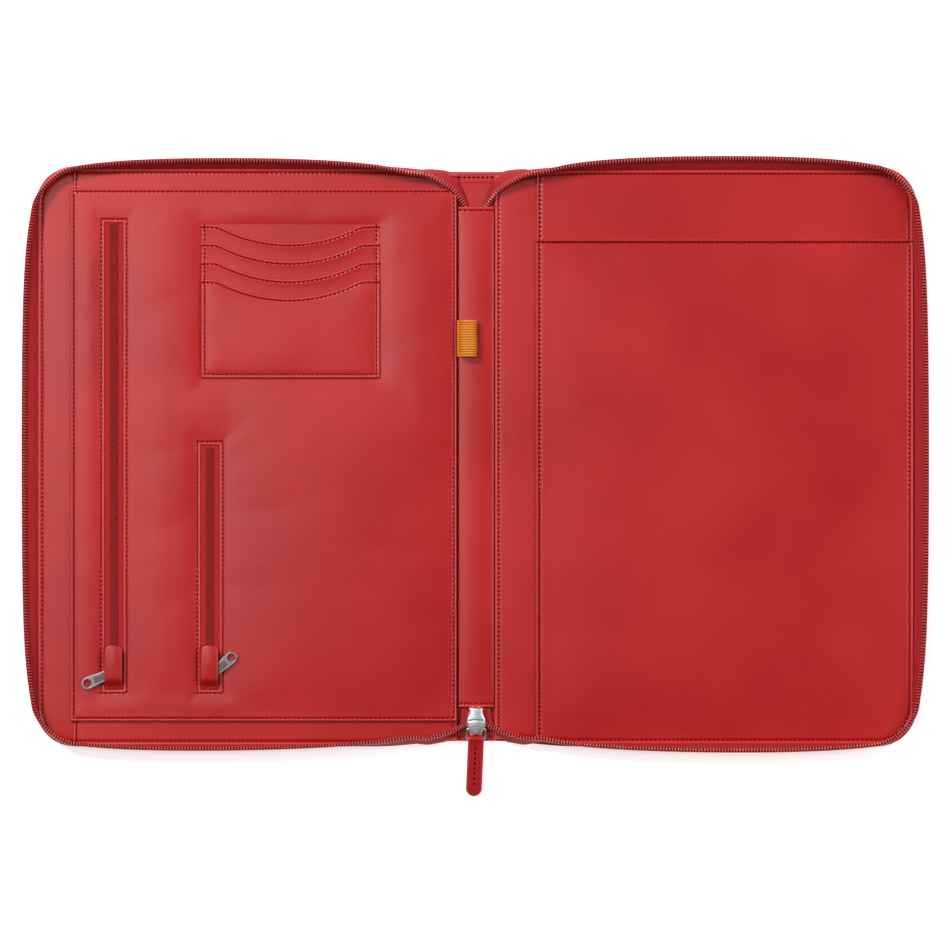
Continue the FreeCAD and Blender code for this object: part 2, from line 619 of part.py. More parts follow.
os.makedirs("parts", exist_ok=True)
make_right_cover()
make_left_cover()
make_zip_walls()
make_organiser()
make_card_slots()
for zip_name, zip_sizes in (("long", LONG_ZIP), ("short", SHORT_ZIP)):
    make_pocket_bag(zip_name, zip_sizes)
    make_small_zip(zip_name, zip_sizes)
    make_small_slider(zip_name, zip_sizes)
    make_small_pull(zip_name, zip_sizes)
    make_flap(zip_name, zip_sizes)
make_spine()
make_tape_tails()
make_pen_loop()
make_main_slider()
make_ring()
make_strap()
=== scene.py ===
"""Looks of a red zip-around portfolio case that lies open on a pale table."""

import json
import math

import bmesh
import bpy
import numpy as np
from mathutils import Matrix, Vector
from mathutils.bvhtree import BVHTree


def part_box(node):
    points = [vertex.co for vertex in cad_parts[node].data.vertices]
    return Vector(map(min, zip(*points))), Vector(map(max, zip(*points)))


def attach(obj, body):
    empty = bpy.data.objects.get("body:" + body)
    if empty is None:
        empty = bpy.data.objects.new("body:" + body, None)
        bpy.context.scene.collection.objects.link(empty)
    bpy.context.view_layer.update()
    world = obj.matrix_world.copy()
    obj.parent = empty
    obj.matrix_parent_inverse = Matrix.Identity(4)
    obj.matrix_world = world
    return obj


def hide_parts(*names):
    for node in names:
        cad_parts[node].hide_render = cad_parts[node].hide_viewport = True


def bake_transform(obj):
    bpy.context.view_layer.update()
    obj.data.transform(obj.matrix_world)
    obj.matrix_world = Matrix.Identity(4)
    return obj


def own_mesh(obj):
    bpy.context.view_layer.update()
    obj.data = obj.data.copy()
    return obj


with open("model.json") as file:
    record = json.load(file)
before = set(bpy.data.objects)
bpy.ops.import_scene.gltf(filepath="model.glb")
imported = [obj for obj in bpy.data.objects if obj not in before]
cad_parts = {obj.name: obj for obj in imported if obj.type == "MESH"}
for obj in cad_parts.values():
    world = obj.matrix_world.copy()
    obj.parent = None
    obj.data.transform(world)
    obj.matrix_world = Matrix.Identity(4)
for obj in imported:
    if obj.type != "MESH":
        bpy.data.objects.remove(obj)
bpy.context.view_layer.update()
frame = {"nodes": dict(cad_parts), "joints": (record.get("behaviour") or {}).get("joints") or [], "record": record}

# ---- sizes, in millimetres unless a name says otherwise -------------------------------------
MM = 0.001


def limits(node):
    """Lowest and highest corner of a CAD node, in millimetres."""
    low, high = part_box(node)
    return low / MM, high / MM


JOINTS = {joint["name"]: joint for joint in frame["joints"]}
FOLD_X = JOINTS["spine_fold"]["pos_m"][0] / MM
REACH = limits("right_outer_shell")[1].x
HALF = limits("right_outer_shell")[1].y
SPINE_HALF = limits("spine_outer_shell")[1].y
SHELL_TOP = limits("right_outer_shell")[1].z
CORNER = 24.0                 # radius of the shell's outer corners
TAPER_X = 60.0                # the shell's edge is drawn in towards the spine from here
LINER_INSET = {"right": 2.6, "left": 1.7}    # each lining's edge, inside the shell's edge
STITCH_PITCH = 2.7
STITCH_IN = 2.0               # seam line, inside a folded edge
LEATHER = 0.9                 # thickness of one layer of leather cloth

WALL_INSET = 0.8              # the zip tapes stand this far inside the shell's edge
WALL_START = 40.0             # and keep to it from here out; nearer the spine they dive
HEM_UNDER = 0.7               # how far each tape runs on under the lining's edge
HEM_Z = 2.5
KNEE_Z = 4.0
TAPE_SLOPE = 6.8
CHAIN_SLOPE = 3.0
TOOTH_PITCH = 1.75
TOOTH_LEAN = 0.28             # sideways sway of a tooth's wire, in wire radii
TAPE_WIDTH = 11.0
TAPE_THICK = 0.5
CHAIN_PROUD = 0.6             # the chain stands on the tape's inner face
CORNER_LEAN = -25.0
LEAN_SMOOTHING = 24           # passes that even out the lean from station to station
SPINE_LEAN = -50.0
SPINE_LEAN_X = 18.0
CORNER_DECAY = 38.0
LEANS = {
    "right": {"top": 50.0, "side": 50.0, "bottom": 25.0, "top_decay": 43.0, "bottom_decay": 50.0},
    "left": {"top": 40.0, "side": 62.0, "bottom": 22.0, "top_decay": 43.0, "bottom_decay": 65.0},
}
# Where a tape leaves the cover's edge and dives under the spine strip: hem, then chain.
TOP_DIVE = [
    ((30.0, 172.4, 1.5), (30.0, 168.9, 11.4)),
    ((22.0, 172.1, 1.4), (23.6, 166.2, 10.6)),
    ((16.5, 171.0, 1.6), (18.4, 163.4, 9.4)),
    ((12.0, 167.4, 2.0), (14.0, 160.4, 7.8)),
    ((8.8, 161.6, 2.1), (9.8, 155.8, 5.6)),
    ((6.2, 155.0, 2.0), (5.9, 150.4, 3.4)),
    ((4.4, 148.5, 1.7), (3.4, 144.0, 2.8)),
]
BOTTOM_DIVE = [
    ((30.0, -172.3, 1.5), (30.0, -168.9, 11.2)),
    ((23.0, -171.4, 1.5), (23.4, -167.4, 10.2)),
    ((17.0, -169.8, 1.7), (15.8, -165.0, 8.0)),
    ((12.5, -165.4, 2.0), (10.6, -163.0, 5.8)),
    ((10.4, -160.0, 2.2), (6.6, -161.0, 3.9)),
    ((9.2, -155.6, 2.4), (3.2, -158.2, 3.2)),
    ((8.6, -148.0, 2.4), (1.9, -150.0, 3.1)),
]

SMALL_TOOTH_PITCH = 1.3
RIB_COUNT = 15
RIB_SEED = 7
RIB_SCATTER = 0.22
WIRE_RADIUS = 0.68
CLOTH_CELL = 6.0
CLOTH_FRAMES = 22
SEWN_MARGIN = 7.0             # a simulated sheet is held this near its edges
SHARP_ANGLE = math.radians(55)
# Grid lines this far from a folded edge, close enough together to draw its bead and its seam.
SEAM_OFFSETS = (0, 0.12, 0.3, 0.55, 0.85, 1.2, 1.5, 1.75, 2.0, 2.25, 2.5, 2.9, 3.6)
CORNER_STEPS = 14             # stations round a corner of the edge zip
DIVE_STEPS = 6                # points between two stations of a dive


# ---- finishes --------------------------------------------------------------------------------
class Value:
    """A node's output, on which arithmetic adds Math nodes."""

    def __init__(self, finish, socket):
        self.finish = finish
        self.socket = socket

    def __add__(self, other):
        return self.finish.maths("ADD", self, other)

    def __radd__(self, other):
        return self.finish.maths("ADD", other, self)

    def __sub__(self, other):
        return self.finish.maths("SUBTRACT", self, other)

    def __rsub__(self, other):
        return self.finish.maths("SUBTRACT", other, self)

    def __mul__(self, other):
        return self.finish.maths("MULTIPLY", self, other)

    def __rmul__(self, other):
        return self.finish.maths("MULTIPLY", other, self)

    def __pow__(self, other):
        return self.finish.maths("POWER", self, other)


class Finish:
    """One procedural material: a Principled shader and what feeds it."""

    def __init__(self, name, **constants):
        self.material = bpy.data.materials.new(name)
        self.material.use_nodes = True
        self.tree = self.material.node_tree
        self.tree.nodes.clear()
        output = self.tree.nodes.new("ShaderNodeOutputMaterial")
        self.shader = self.tree.nodes.new("ShaderNodeBsdfPrincipled")
        self.tree.links.new(self.shader.outputs[0], output.inputs[0])
        for label, value in constants.items():
            self.shader.inputs[label.replace("_", " ")].default_value = value

    def node(self, kind, settings=None, output=0, **sockets):
        """A node of that kind, with its settings made first. Returns one of its outputs."""
        node = self.tree.nodes.new("ShaderNode" + kind)
        for label, value in (settings or {}).items():
            if label == "stops":
                self.set_stops(node.color_ramp, value)
            else:
                setattr(node, label, value)
        for label, value in sockets.items():
            key = int(label[1:]) if label[0] == "i" and label[1:].isdigit() else label.replace("_", " ")
            self.feed(node.inputs[key], value)
        return Value(self, node.outputs[output])

    def set_stops(self, ramp, stops):
        while len(ramp.elements) < len(stops):
            ramp.elements.new(0.5)
        for element, (place, level) in zip(ramp.elements, stops):
            element.position = place
            element.color = (level, level, level, 1)

    def feed(self, socket, value):
        if isinstance(value, Value):
            self.tree.links.new(value.socket, socket)
        else:
            socket.default_value = value

    def maths(self, operation, first, second=0.0):
        return self.node("Math", {"operation": operation}, i0=first, i1=second)

    def mix(self, share, first, second):
        """Colour between first and second by a share from 0 to 1."""
        return self.node("Mix", {"data_type": "RGBA"}, output=2, i0=share, i6=first, i7=second)

    def smooth(self, value, low, high):
        return self.node("MapRange", {"interpolation_type": "SMOOTHSTEP"},
                         Value=value, From_Min=low, From_Max=high)

    def place(self):
        return self.node("TexCoord", output=3)

    def surface(self):
        return self.node("TexCoord", output=2)

    def noise(self, scale, detail=2.0):
        return self.node("TexNoise", Vector=self.place(), Scale=scale, Detail=detail)

    def streaks(self, scale):
        """Noise drawn out along the axes whose scale is smaller."""
        return self.node("TexNoise", Vector=self.node("Mapping", Vector=self.place(), Scale=scale),
                         Scale=1.0, Detail=3.0)

    def attribute(self, name):
        return self.node("Attribute", {"attribute_name": name}, output=2)

    def bump(self, height, depth_mm, below=None):
        sockets = {"Height": height, "Distance": depth_mm * MM, "Strength": 1.0}
        if below is not None:
            sockets["Normal"] = below
        return self.node("Bump", **sockets)

    def set(self, label, value):
        self.feed(self.shader.inputs[label], value)


def scaled(colour, share, added=0.0):
    """A colour with its channels multiplied by a share and raised."""
    return tuple(channel * share + added for channel in colour[:3]) + (1,)


def leather(name, deep, light, rough=0.35, grain=0.03):
    """Leather cloth: fine pebble grain, paler at folded edges (partly wear, partly a painted highlight on
    each bead), pinched at each stitch of a seam and darkened along it with painted shade (`pull` is how
    near the seam is, `run` the way along it in millimetres)."""
    finish = Finish(name, IOR=1.5)
    clouds = finish.noise(11.0)
    pebbles = finish.node("TexVoronoi", {"feature": "SMOOTH_F1"}, Vector=finish.place(), Scale=900.0)
    pores = finish.noise(2600.0)
    creases = finish.noise(75.0, 4.0)
    wear = finish.attribute("wear")
    pull = finish.attribute("pull")
    beat = finish.maths("SINE", finish.attribute("run") * (2 * math.pi / STITCH_PITCH)) * 0.5 + 0.5
    red = finish.mix(finish.smooth(clouds + (pores - 0.5) * 0.12, 0.30, 0.70), deep, light)
    # Folded edges turn paler: partly real wear, partly a painted highlight where the rounded bead catches the
    # light.
    highlighted = finish.mix(wear * 0.85, red, scaled(light, 1.3, 0.06))
    # Painted shade: the seam's groove and each stitch are darkened in the colour itself.
    seam_shade = pull ** 5.0 * (beat * 0.35 + 0.45)
    finish.set("Base Color", finish.mix(seam_shade, highlighted, scaled(deep, 0.42)))
    finish.set("Roughness", (clouds - 0.5) * 0.10 + (pebbles - 0.5) * 0.06 + rough - wear * 0.08)
    hide = finish.bump(pebbles * 0.6 + pores * 0.4, grain)
    rumpled = finish.bump(creases, 0.13, hide)
    finish.set("Normal", finish.bump(pull * beat, 0.14, rumpled))
    return finish.material


def thread(name, colour):
    """Twisted sewing thread."""
    finish = Finish(name, Roughness=0.85, Specular_IOR_Level=0.03)
    twist = finish.node("TexWave", {"bands_direction": "DIAGONAL"}, Vector=finish.place(), Scale=1400.0)
    finish.set("Base Color", finish.mix(twist, scaled(colour, 0.55), colour))
    finish.set("Normal", finish.bump(twist, 0.05))
    return finish.material


def woven_tape(name, deep, light):
    """Twill zip tape: fine herringbone across and along the tape's own UV map, in metres."""
    finish = Finish(name, Roughness=0.8)
    cloth = finish.surface()
    warp = finish.node("TexWave", {"bands_direction": "X"}, Vector=cloth, Scale=520.0, Distortion=0.6,
                       Detail=1.0, Detail_Scale=2.0)
    weft = finish.node("TexWave", {"bands_direction": "DIAGONAL"}, Vector=cloth, Scale=620.0)
    fuzz = finish.noise(2400.0, 3.0)
    weave = warp * weft
    finish.set("Base Color", finish.mix(weave * 0.6 + fuzz * 0.5, deep, light))
    finish.set("Normal", finish.bump(weave + fuzz * 0.4, 0.16))
    return finish.material


def coil(name, colour):
    """Nylon monofilament with a slight sheen."""
    finish = Finish(name, Coat_Roughness=0.2, Coat_Weight=0.3, IOR=1.53)
    shade = finish.noise(700.0)
    finish.set("Base Color", finish.mix(shade, scaled(colour, 0.45), colour))
    finish.set("Roughness", shade * 0.15 + 0.22)
    return finish.material


def plated(name, colour, rough):
    """Nickel plate with faint brushing and small handling marks."""
    finish = Finish(name, Metallic=1.0)
    brushing = finish.streaks((600.0, 5200.0, 600.0))
    marks = finish.noise(420.0, 4.0)
    finish.set("Base Color", finish.mix(finish.smooth(marks, 0.45, 0.75), colour, scaled(colour, 0.78)))
    finish.set("Roughness", brushing * 0.10 + marks * 0.10 + rough)
    finish.set("Normal", finish.bump(brushing, 0.008))
    return finish.material


def ribbed_elastic(name, deep, light):
    """Woven elastic: fibres along each rib, and painted shade in the grooves between ribs from the `groove`
    attribute.
    """
    finish = Finish(name, Roughness=0.66)
    fibres = finish.streaks((900.0, 3800.0, 900.0))
    # Painted shade: the groove values darken the colour between the ribs.
    tone = finish.smooth(fibres, 0.3, 0.7) * 0.7 + finish.attribute("groove") * -0.5 + 0.3
    finish.set("Base Color", finish.mix(tone, deep, light))
    finish.set("Normal", finish.bump(fibres, 0.05))
    return finish.material


def board(name, colour):
    """Matt fibrous board or foam."""
    finish = Finish(name, Roughness=0.9)
    fibres = finish.noise(500.0, 5.0)
    finish.set("Base Color", finish.mix(fibres, scaled(colour, 0.7), colour))
    finish.set("Normal", finish.bump(fibres, 0.05))
    return finish.material


RED_DEEP = (0.475, 0.007, 0.008, 1)
RED_LIGHT = (0.56, 0.013, 0.014, 1)
LINING = leather("lining_leather", RED_DEEP, RED_LIGHT)
OUTER = leather("outer_leather", RED_DEEP, RED_LIGHT, 0.42, 0.05)
PULL_LEATHER = leather("pull_leather", (0.40, 0.004, 0.006, 1), (0.47, 0.007, 0.009, 1), 0.42)
THREAD = thread("seam_thread", (0.27, 0.001, 0.002, 1))
DARK_THREAD = thread("pull_thread", (0.05, 0.001, 0.001, 1))
TAPE = woven_tape("zip_tape", (0.38, 0.006, 0.009, 1), (0.68, 0.020, 0.026, 1))
# Paler and pinker than the red nylon: a painted highlight standing in for the glints on each turn of the coil.
PAINTED_GLINT_COIL = coil("zip_coil", (0.90, 0.17, 0.16, 1))
WINDOW_COIL = coil("window_coil", (0.66, 0.05, 0.05, 1))
EDGE_CORE = thread("coil_core", (0.30, 0.003, 0.005, 1))
METAL = plated("nickel_plate", (0.95, 0.95, 0.96, 1), 0.30)
# The slight pink tint of both pull finishes is a painted reflection of the red leather round them.
PULL_METAL_PAINTED_REFLECTION = plated("pull_plate", (0.36, 0.33, 0.34, 1), 0.26)
PULL_FIELD_PAINTED_REFLECTION = plated("pull_field", (0.20, 0.16, 0.17, 1), 0.40)
WIRE = plated("ring_wire", (0.78, 0.72, 0.58, 1), 0.18)
ELASTIC = ribbed_elastic("orange_elastic", (0.66, 0.17, 0.005, 1), (0.95, 0.36, 0.02, 1))
# A darker copy of the elastic for the band that shows between the ribs: painted shade in the gaps.
SHADED_ELASTIC_CORE = ribbed_elastic("elastic_core_painted_shade", (0.30, 0.05, 0.002, 1), (0.42, 0.08, 0.003, 1))
BOARD = board("grey_board", (0.30, 0.27, 0.23, 1))
FOAM = board("foam_pad", (0.75, 0.73, 0.68, 1))
BAG_CLOTH = woven_tape("pocket_lining", (0.10, 0.003, 0.005, 1), (0.20, 0.008, 0.01, 1))


# ---- mesh making -----------------------------------------------------------------------------
def link(name, data, material=None):
    """A new object in the scene, with one material if given."""
    piece = bpy.data.objects.new(name, data)
    bpy.context.scene.collection.objects.link(piece)
    if material is not None:
        data.materials.clear()
        data.materials.append(material)
    return piece


def declare(piece, slot, body, *nodes):
    """Hides the CAD nodes that a piece stands for and attaches the piece to its body; `slot` is not used."""
    if nodes:
        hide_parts(*nodes)
    if body:
        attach(piece, body)
    return piece


def mesh_piece(name, points, faces, material, attributes=None, uv=None):
    """A piece from points in millimetres. `attributes` are numbers for each point, `uv` its cloth map."""
    mesh = bpy.data.meshes.new(name)
    mesh.from_pydata((np.asarray(points, float) * MM).tolist(), [], [tuple(face) for face in faces])
    mesh.polygons.foreach_set("use_smooth", [True] * len(mesh.polygons))
    for label, values in (attributes or {}).items():
        layer = mesh.attributes.new(label, "FLOAT", "POINT")
        layer.data.foreach_set("value", np.asarray(values, np.float32))
    if uv is not None:
        layer = mesh.uv_layers.new(name="cloth")
        corners = np.zeros(len(mesh.loops), int)
        mesh.loops.foreach_get("vertex_index", corners)
        layer.data.foreach_set("uv", (np.asarray(uv, float) * MM)[corners].ravel())
    mesh.validate()
    mesh.update()
    mesh.set_sharp_from_angle(angle=SHARP_ANGLE)
    return link(name, mesh, material)


def grid_lines(low, high, step, dense=(), near=6.0):
    """Grid lines from low to high: `step` apart, and closer together beside each dense place."""
    places = set(np.round(np.linspace(low, high, max(2, int((high - low) / step) + 1)), 3))
    for place in dense:
        places = {value for value in places if abs(value - place) > near}
        for offset in SEAM_OFFSETS + (4.6, 6.0):
            places.update((round(place + offset, 3), round(place - offset, 3)))
    kept = sorted(value for value in places if low <= value <= high)
    spaced = [kept[0]]
    for value in kept[1:]:
        if value - spaced[-1] > 0.08:
            spaced.append(value)
    spaced[-1] = high
    return np.array(spaced)


def ripple(x, y, seed, length, height):
    """Gentle unevenness: a few long waves in mixed directions."""
    random = np.random.default_rng(seed)
    total = np.zeros_like(x)
    for _ in range(7):
        angle = random.uniform(0, math.pi)
        phase = random.uniform(0, 2 * math.pi)
        wave = length * random.uniform(0.6, 1.5)
        total += np.sin((x * math.cos(angle) + y * math.sin(angle)) * 2 * math.pi / wave + phase)
    return total * height / 3.5


def corner_centre(low, high, signs, radius):
    """Centre of a rectangle's rounded corner."""
    return [high[axis] - radius if sign > 0 else low[axis] + radius for axis, sign in enumerate(signs)]


def rounded_distance(x, y, low, high, radii):
    """Distance inside a rectangle whose four corners (sx, sy) have the given radii."""
    distance = np.minimum(np.minimum(x - low[0], high[0] - x), np.minimum(y - low[1], high[1] - y))
    for (sx, sy), radius in radii.items():
        centre_x, centre_y = corner_centre(low, high, (sx, sy), radius)
        dx, dy = (x - centre_x) * sx, (y - centre_y) * sy
        distance = np.where((dx > 0) & (dy > 0), radius - np.hypot(dx, dy), distance)
    return distance


def bend_corners(x, y, low, high, radii):
    """Moves the points of each corner square onto its rounded corner."""
    x, y = x.copy(), y.copy()
    for (sx, sy), radius in radii.items():
        centre_x, centre_y = corner_centre(low, high, (sx, sy), radius)
        a = (x - centre_x) * sx / radius
        b = (y - centre_y) * sy / radius
        inside = (a > 0) & (b > 0)
        across = a * np.sqrt(np.clip(1 - b * b / 2, 0, 1))
        up = b * np.sqrt(np.clip(1 - a * a / 2, 0, 1))
        x = np.where(inside, centre_x + across * radius * sx, x)
        y = np.where(inside, centre_y + up * radius * sy, y)
    return x, y


def fold_rise(distance, round_off=0.9):
    """From 0 at a folded edge to 1 where its rounding ends."""
    near = np.clip(distance / round_off, 0, 1)
    return np.sqrt(np.clip(1 - (1 - near) ** 2, 0, 1))


def seam_dip(distance, stitch=STITCH_IN, depth=0.42, width=0.55):
    return depth * np.exp(-(((distance - stitch) / width) ** 2))


class Relief:
    """Height, edge wear with a painted bead highlight, and stitch pull over a grid of points, built up seam by
    seam.
    """

    def __init__(self, x, y, level):
        self.x, self.y = x, y
        self.z = np.full_like(x, float(level))
        self.wear, self.pull = np.zeros_like(x), np.zeros_like(x)
        self.run = y.copy()
        self.room = np.full_like(x, 60.0)

    def fold(self, gap, run, drop, bead=0.30, stitch=STITCH_IN, depth=0.40):
        """A folded edge `gap` away, sewn beside its bead. `run` measures along it."""
        self.z += bead * np.exp(-(((gap - 0.95) / 0.6) ** 2)) - drop * (1 - fold_rise(gap, 1.1))
        # Paler band on the bead: partly wear, partly a painted highlight where the rounded edge catches the light.
        self.wear = np.maximum(self.wear, 0.9 * np.exp(-(((gap - 0.85) / 0.62) ** 2)))
        self.sew(gap, run, stitch, depth)

    def sew(self, gap, run, stitch, depth):
        """A row of stitches on the line where `gap` is `stitch`."""
        self.z -= seam_dip(gap, stitch, depth)
        pull = np.exp(-(((gap - stitch) / 1.0) ** 2))
        self.run = np.where(pull > self.pull, run, self.run)
        self.pull = np.maximum(self.pull, pull)
        self.room = np.minimum(self.room, np.clip(gap - stitch, 0, None))

    def shades(self):
        """What the leather finish reads, by attribute name."""
        return {"wear": self.wear, "pull": self.pull, "run": self.run}

    def swell(self, height, reach, field=None):
        """Softness between the seams: a cushion, and a simulated cloth's own unevenness."""
        self.z += height * (1 - np.exp(-self.room / reach))
        if field is not None:
            self.z += field(self.x, self.y) * np.clip(self.room / 6, 0, 1)


def nearest_run(gap_x, gap_y):
    """Way along whichever edge is nearer, measured from the corner, so it has no step there."""
    return np.maximum(gap_x, gap_y)


def panel(name, x_lines, y_lines, z_low, top, material, radii=None, holes=(), draw_in=None):
    """Closed sheet over a grid. top(x, y, distance, hole_distance) gives its upper face as a Relief;
    `holes` are (x_low, x_high, y_low, y_high) cells left out."""
    radii = radii or {}
    low, high = (x_lines[0], y_lines[0]), (x_lines[-1], y_lines[-1])
    x, y = np.meshgrid(x_lines, y_lines, indexing="ij")
    x, y = bend_corners(x, y, low, high, radii)
    distance = rounded_distance(x, y, low, high, radii)
    hole_distance = np.full_like(x, 1e3)
    for x0, x1, y0, y1 in holes:
        outside = np.maximum(np.maximum(x0 - x, x - x1), np.maximum(y0 - y, y - y1))
        hole_distance = np.minimum(hole_distance, outside)
    relief = top(x, y, distance, hole_distance)
    z = relief.z
    if draw_in is not None:
        x, y = draw_in(x, y)
    rows, columns = x.shape
    count = rows * columns
    z_floor = z_low(x, y) if callable(z_low) else np.full_like(z, z_low)
    z = np.maximum(z, z_floor + 0.05)
    points = np.concatenate([np.stack([x, y, z], -1).reshape(-1, 3),
                             np.stack([x, y, z_floor], -1).reshape(-1, 3)])
    middle_x = (x_lines[1:] + x_lines[:-1]) / 2
    middle_y = (y_lines[1:] + y_lines[:-1]) / 2
    solid = np.ones((rows - 1, columns - 1), bool)
    for x0, x1, y0, y1 in holes:
        solid &= ~((middle_x[:, None] > x0) & (middle_x[:, None] < x1)
                   & (middle_y[None] > y0) & (middle_y[None] < y1))
    index = np.arange(count).reshape(rows, columns)
    a, b, c, d = index[:-1, :-1], index[1:, :-1], index[1:, 1:], index[:-1, 1:]
    upper = np.stack([a, b, c, d], -1)[solid]
    faces = [upper, upper[:, ::-1] + count]
    padded = np.pad(solid, 1)
    inner = padded[1:-1, 1:-1]
    for shifted, start, end in ((padded[1:-1, :-2], a, b), (padded[2:, 1:-1], b, c),
                                (padded[1:-1, 2:], c, d), (padded[:-2, 1:-1], d, a)):
        rim = inner & ~shifted
        faces.append(np.stack([end[rim], start[rim], start[rim] + count, end[rim] + count], -1))
    faces = np.concatenate(faces)
    used = np.unique(faces)
    renumber = np.full(2 * count, -1)
    renumber[used] = np.arange(len(used))
    shades = {label: np.concatenate([values.ravel(), np.zeros(count)])[used]
              for label, values in relief.shades().items()}
    return mesh_piece(name, points[used], renumber[faces], material, shades)


def closed_sheet(name, upper, lower, material, shades=None, both=False, uv=None):
    """Closed sheet between two grids of points. `shades` colour its upper face, or both faces."""
    rows, columns = upper.shape[:2]
    count = rows * columns
    index = np.arange(count).reshape(rows, columns)
    corners = (index[:-1, :-1], index[1:, :-1], index[1:, 1:], index[:-1, 1:])
    above = np.stack([corner.ravel() for corner in corners], -1)
    rim = np.concatenate([index[:-1, 0], index[-1, :-1], index[:0:-1, -1], index[0, :0:-1]])
    after = np.roll(rim, -1)
    faces = [above, above[:, ::-1] + count, np.stack([after, rim, rim + count, after + count], -1)]
    shades = {label: np.concatenate([values.ravel(), values.ravel() if both else np.zeros(count)])
              for label, values in (shades or {}).items()}
    return mesh_piece(name, np.concatenate([upper.reshape(-1, 3), lower.reshape(-1, 3)]),
                      np.concatenate(faces), material, shades, uv)


def sheet_from_grid(name, x, y, z, z_low, material, shades=None, **more):
    """Closed sheet whose upper face is a grid over a lower face, level or not."""
    z = np.maximum(z, z_low + 0.05)
    return closed_sheet(name, np.stack([x, y, z], -1), np.stack([x, y, np.zeros_like(z) + z_low], -1),
                        material, shades, **more)


def tube_faces(rings, around, looped=False):
    """Quads between rings of points, with the end rings capped."""
    faces = []
    for ring in range(rings if looped else rings - 1):
        start, end = ring * around, (ring + 1) % rings * around
        for step in range(around):
            after = (step + 1) % around
            faces.append((start + step, start + after, end + after, end + step))
    if not looped:
        faces.append(tuple(reversed(range(around))))
        faces.append(tuple(range((rings - 1) * around, rings * around)))
    return faces


def rings_round(path, side, up, around):
    """Rings of points round a path, with `side` and `up` as each ring's half axes."""
    angles = np.linspace(0, 2 * math.pi, around, endpoint=False)[None, :, None]
    return (path[:, None] + side[:, None] * np.cos(angles) + up[:, None] * np.sin(angles)).reshape(-1, 3)


def unit(vectors):
    """Rows scaled to length 1."""
    return vectors / np.maximum(np.linalg.norm(vectors, axis=-1), 1e-9)[..., None]


def round_loop(path):
    """Direction along a closed path at each of its points."""
    return unit(np.roll(path, -1, 0) - np.roll(path, 1, 0))


def arc(centre_x, centre_y, radius, start, turn, steps):
    """Points of an arc from `start` through `turn` degrees."""
    angles = [math.radians(start + step * turn / steps) for step in range(steps + 1)]
    return [(centre_x + radius * math.cos(angle), centre_y + radius * math.sin(angle)) for angle in angles]


def joined(name, pieces):
    """Joins pieces into one mesh, each keeping its finish."""
    target = pieces[0]
    with bpy.context.temp_override(active_object=target, object=target, selected_objects=pieces,
                                   selected_editable_objects=pieces):
        bpy.ops.object.join()
    target.name = target.data.name = name
    return target


def outward(piece, weld=False):
    """Points every face of a closed piece outwards, merging doubled points first if asked."""
    shape = bmesh.new()
    shape.from_mesh(piece.data)
    if weld:
        bmesh.ops.remove_doubles(shape, verts=shape.verts, dist=0.01 * MM)
    bmesh.ops.recalc_face_normals(shape, faces=shape.faces)
    shape.to_mesh(piece.data)
    shape.free()
    return piece


# ---- node trees for what repeats -------------------------------------------------------------
def new_tree(name, **inputs):
    """A tree that takes a path and the named inputs. Returns it and its input sockets."""
    tree = bpy.data.node_groups.new(name, "GeometryNodeTree")
    for label, kind in {"Path": "Geometry", **inputs}.items():
        tree.interface.new_socket(label, in_out="INPUT", socket_type="NodeSocket" + kind)
    tree.interface.new_socket("Made", in_out="OUTPUT", socket_type="NodeSocketGeometry")
    return tree, tree.nodes.new("NodeGroupInput").outputs


def add_node(tree, kind, settings=None, **links):
    """A node with its settings made and its sockets fed. Returns its first output."""
    node = tree.nodes.new(kind)
    for label, value in (settings or {}).items():
        setattr(node, label, value)
    for label, value in links.items():
        socket = node.inputs[label.replace("_", " ")]
        if isinstance(value, bpy.types.NodeSocket):
            tree.links.new(value, socket)
        else:
            socket.default_value = value
    return node.outputs[0]


def spaced_points(tree, given):
    """Points at the given pitch along the path, and each one's turn to face along it."""
    curve = add_node(tree, "GeometryNodeMeshToCurve", Mesh=given["Path"])
    points = add_node(tree, "GeometryNodeResampleCurve", {"mode": "LENGTH"}, Curve=curve,
                      Length=given["Pitch"])
    along = add_node(tree, "GeometryNodeInputTangent")
    return points, add_node(tree, "FunctionNodeAlignRotationToVector", {"axis": "X"}, Vector=along)


def finish_tree(tree, made, material):
    """Ends a tree with real geometry in one material."""
    realised = add_node(tree, "GeometryNodeRealizeInstances", Geometry=made)
    painted = add_node(tree, "GeometryNodeSetMaterial", Geometry=realised, Material=material)
    tree.links.new(painted, tree.nodes.new("NodeGroupOutput").inputs[0])
    return tree


def stitch_tree():
    """Stitches: small thread beads laid end to end along a path, each slightly slanted."""
    tree, given = new_tree("stitch_row", Pitch="Float", Length="Float", Width="Float", Height="Float",
                           Slant="Float", Thread="Material")
    points, facing = spaced_points(tree, given)
    bead = add_node(tree, "GeometryNodeMeshUVSphere", Segments=8, Rings=5, Radius=0.5)
    size = add_node(tree, "ShaderNodeCombineXYZ", X=given["Length"], Y=given["Width"], Z=given["Height"])
    turn = add_node(tree, "ShaderNodeCombineXYZ", X=0.0, Y=0.0, Z=given["Slant"])
    shaped = add_node(tree, "GeometryNodeTransform", Geometry=bead, Scale=size, Rotation=turn)
    placed = add_node(tree, "GeometryNodeInstanceOnPoints", Points=points, Instance=shaped, Rotation=facing)
    return finish_tree(tree, placed, given["Thread"])


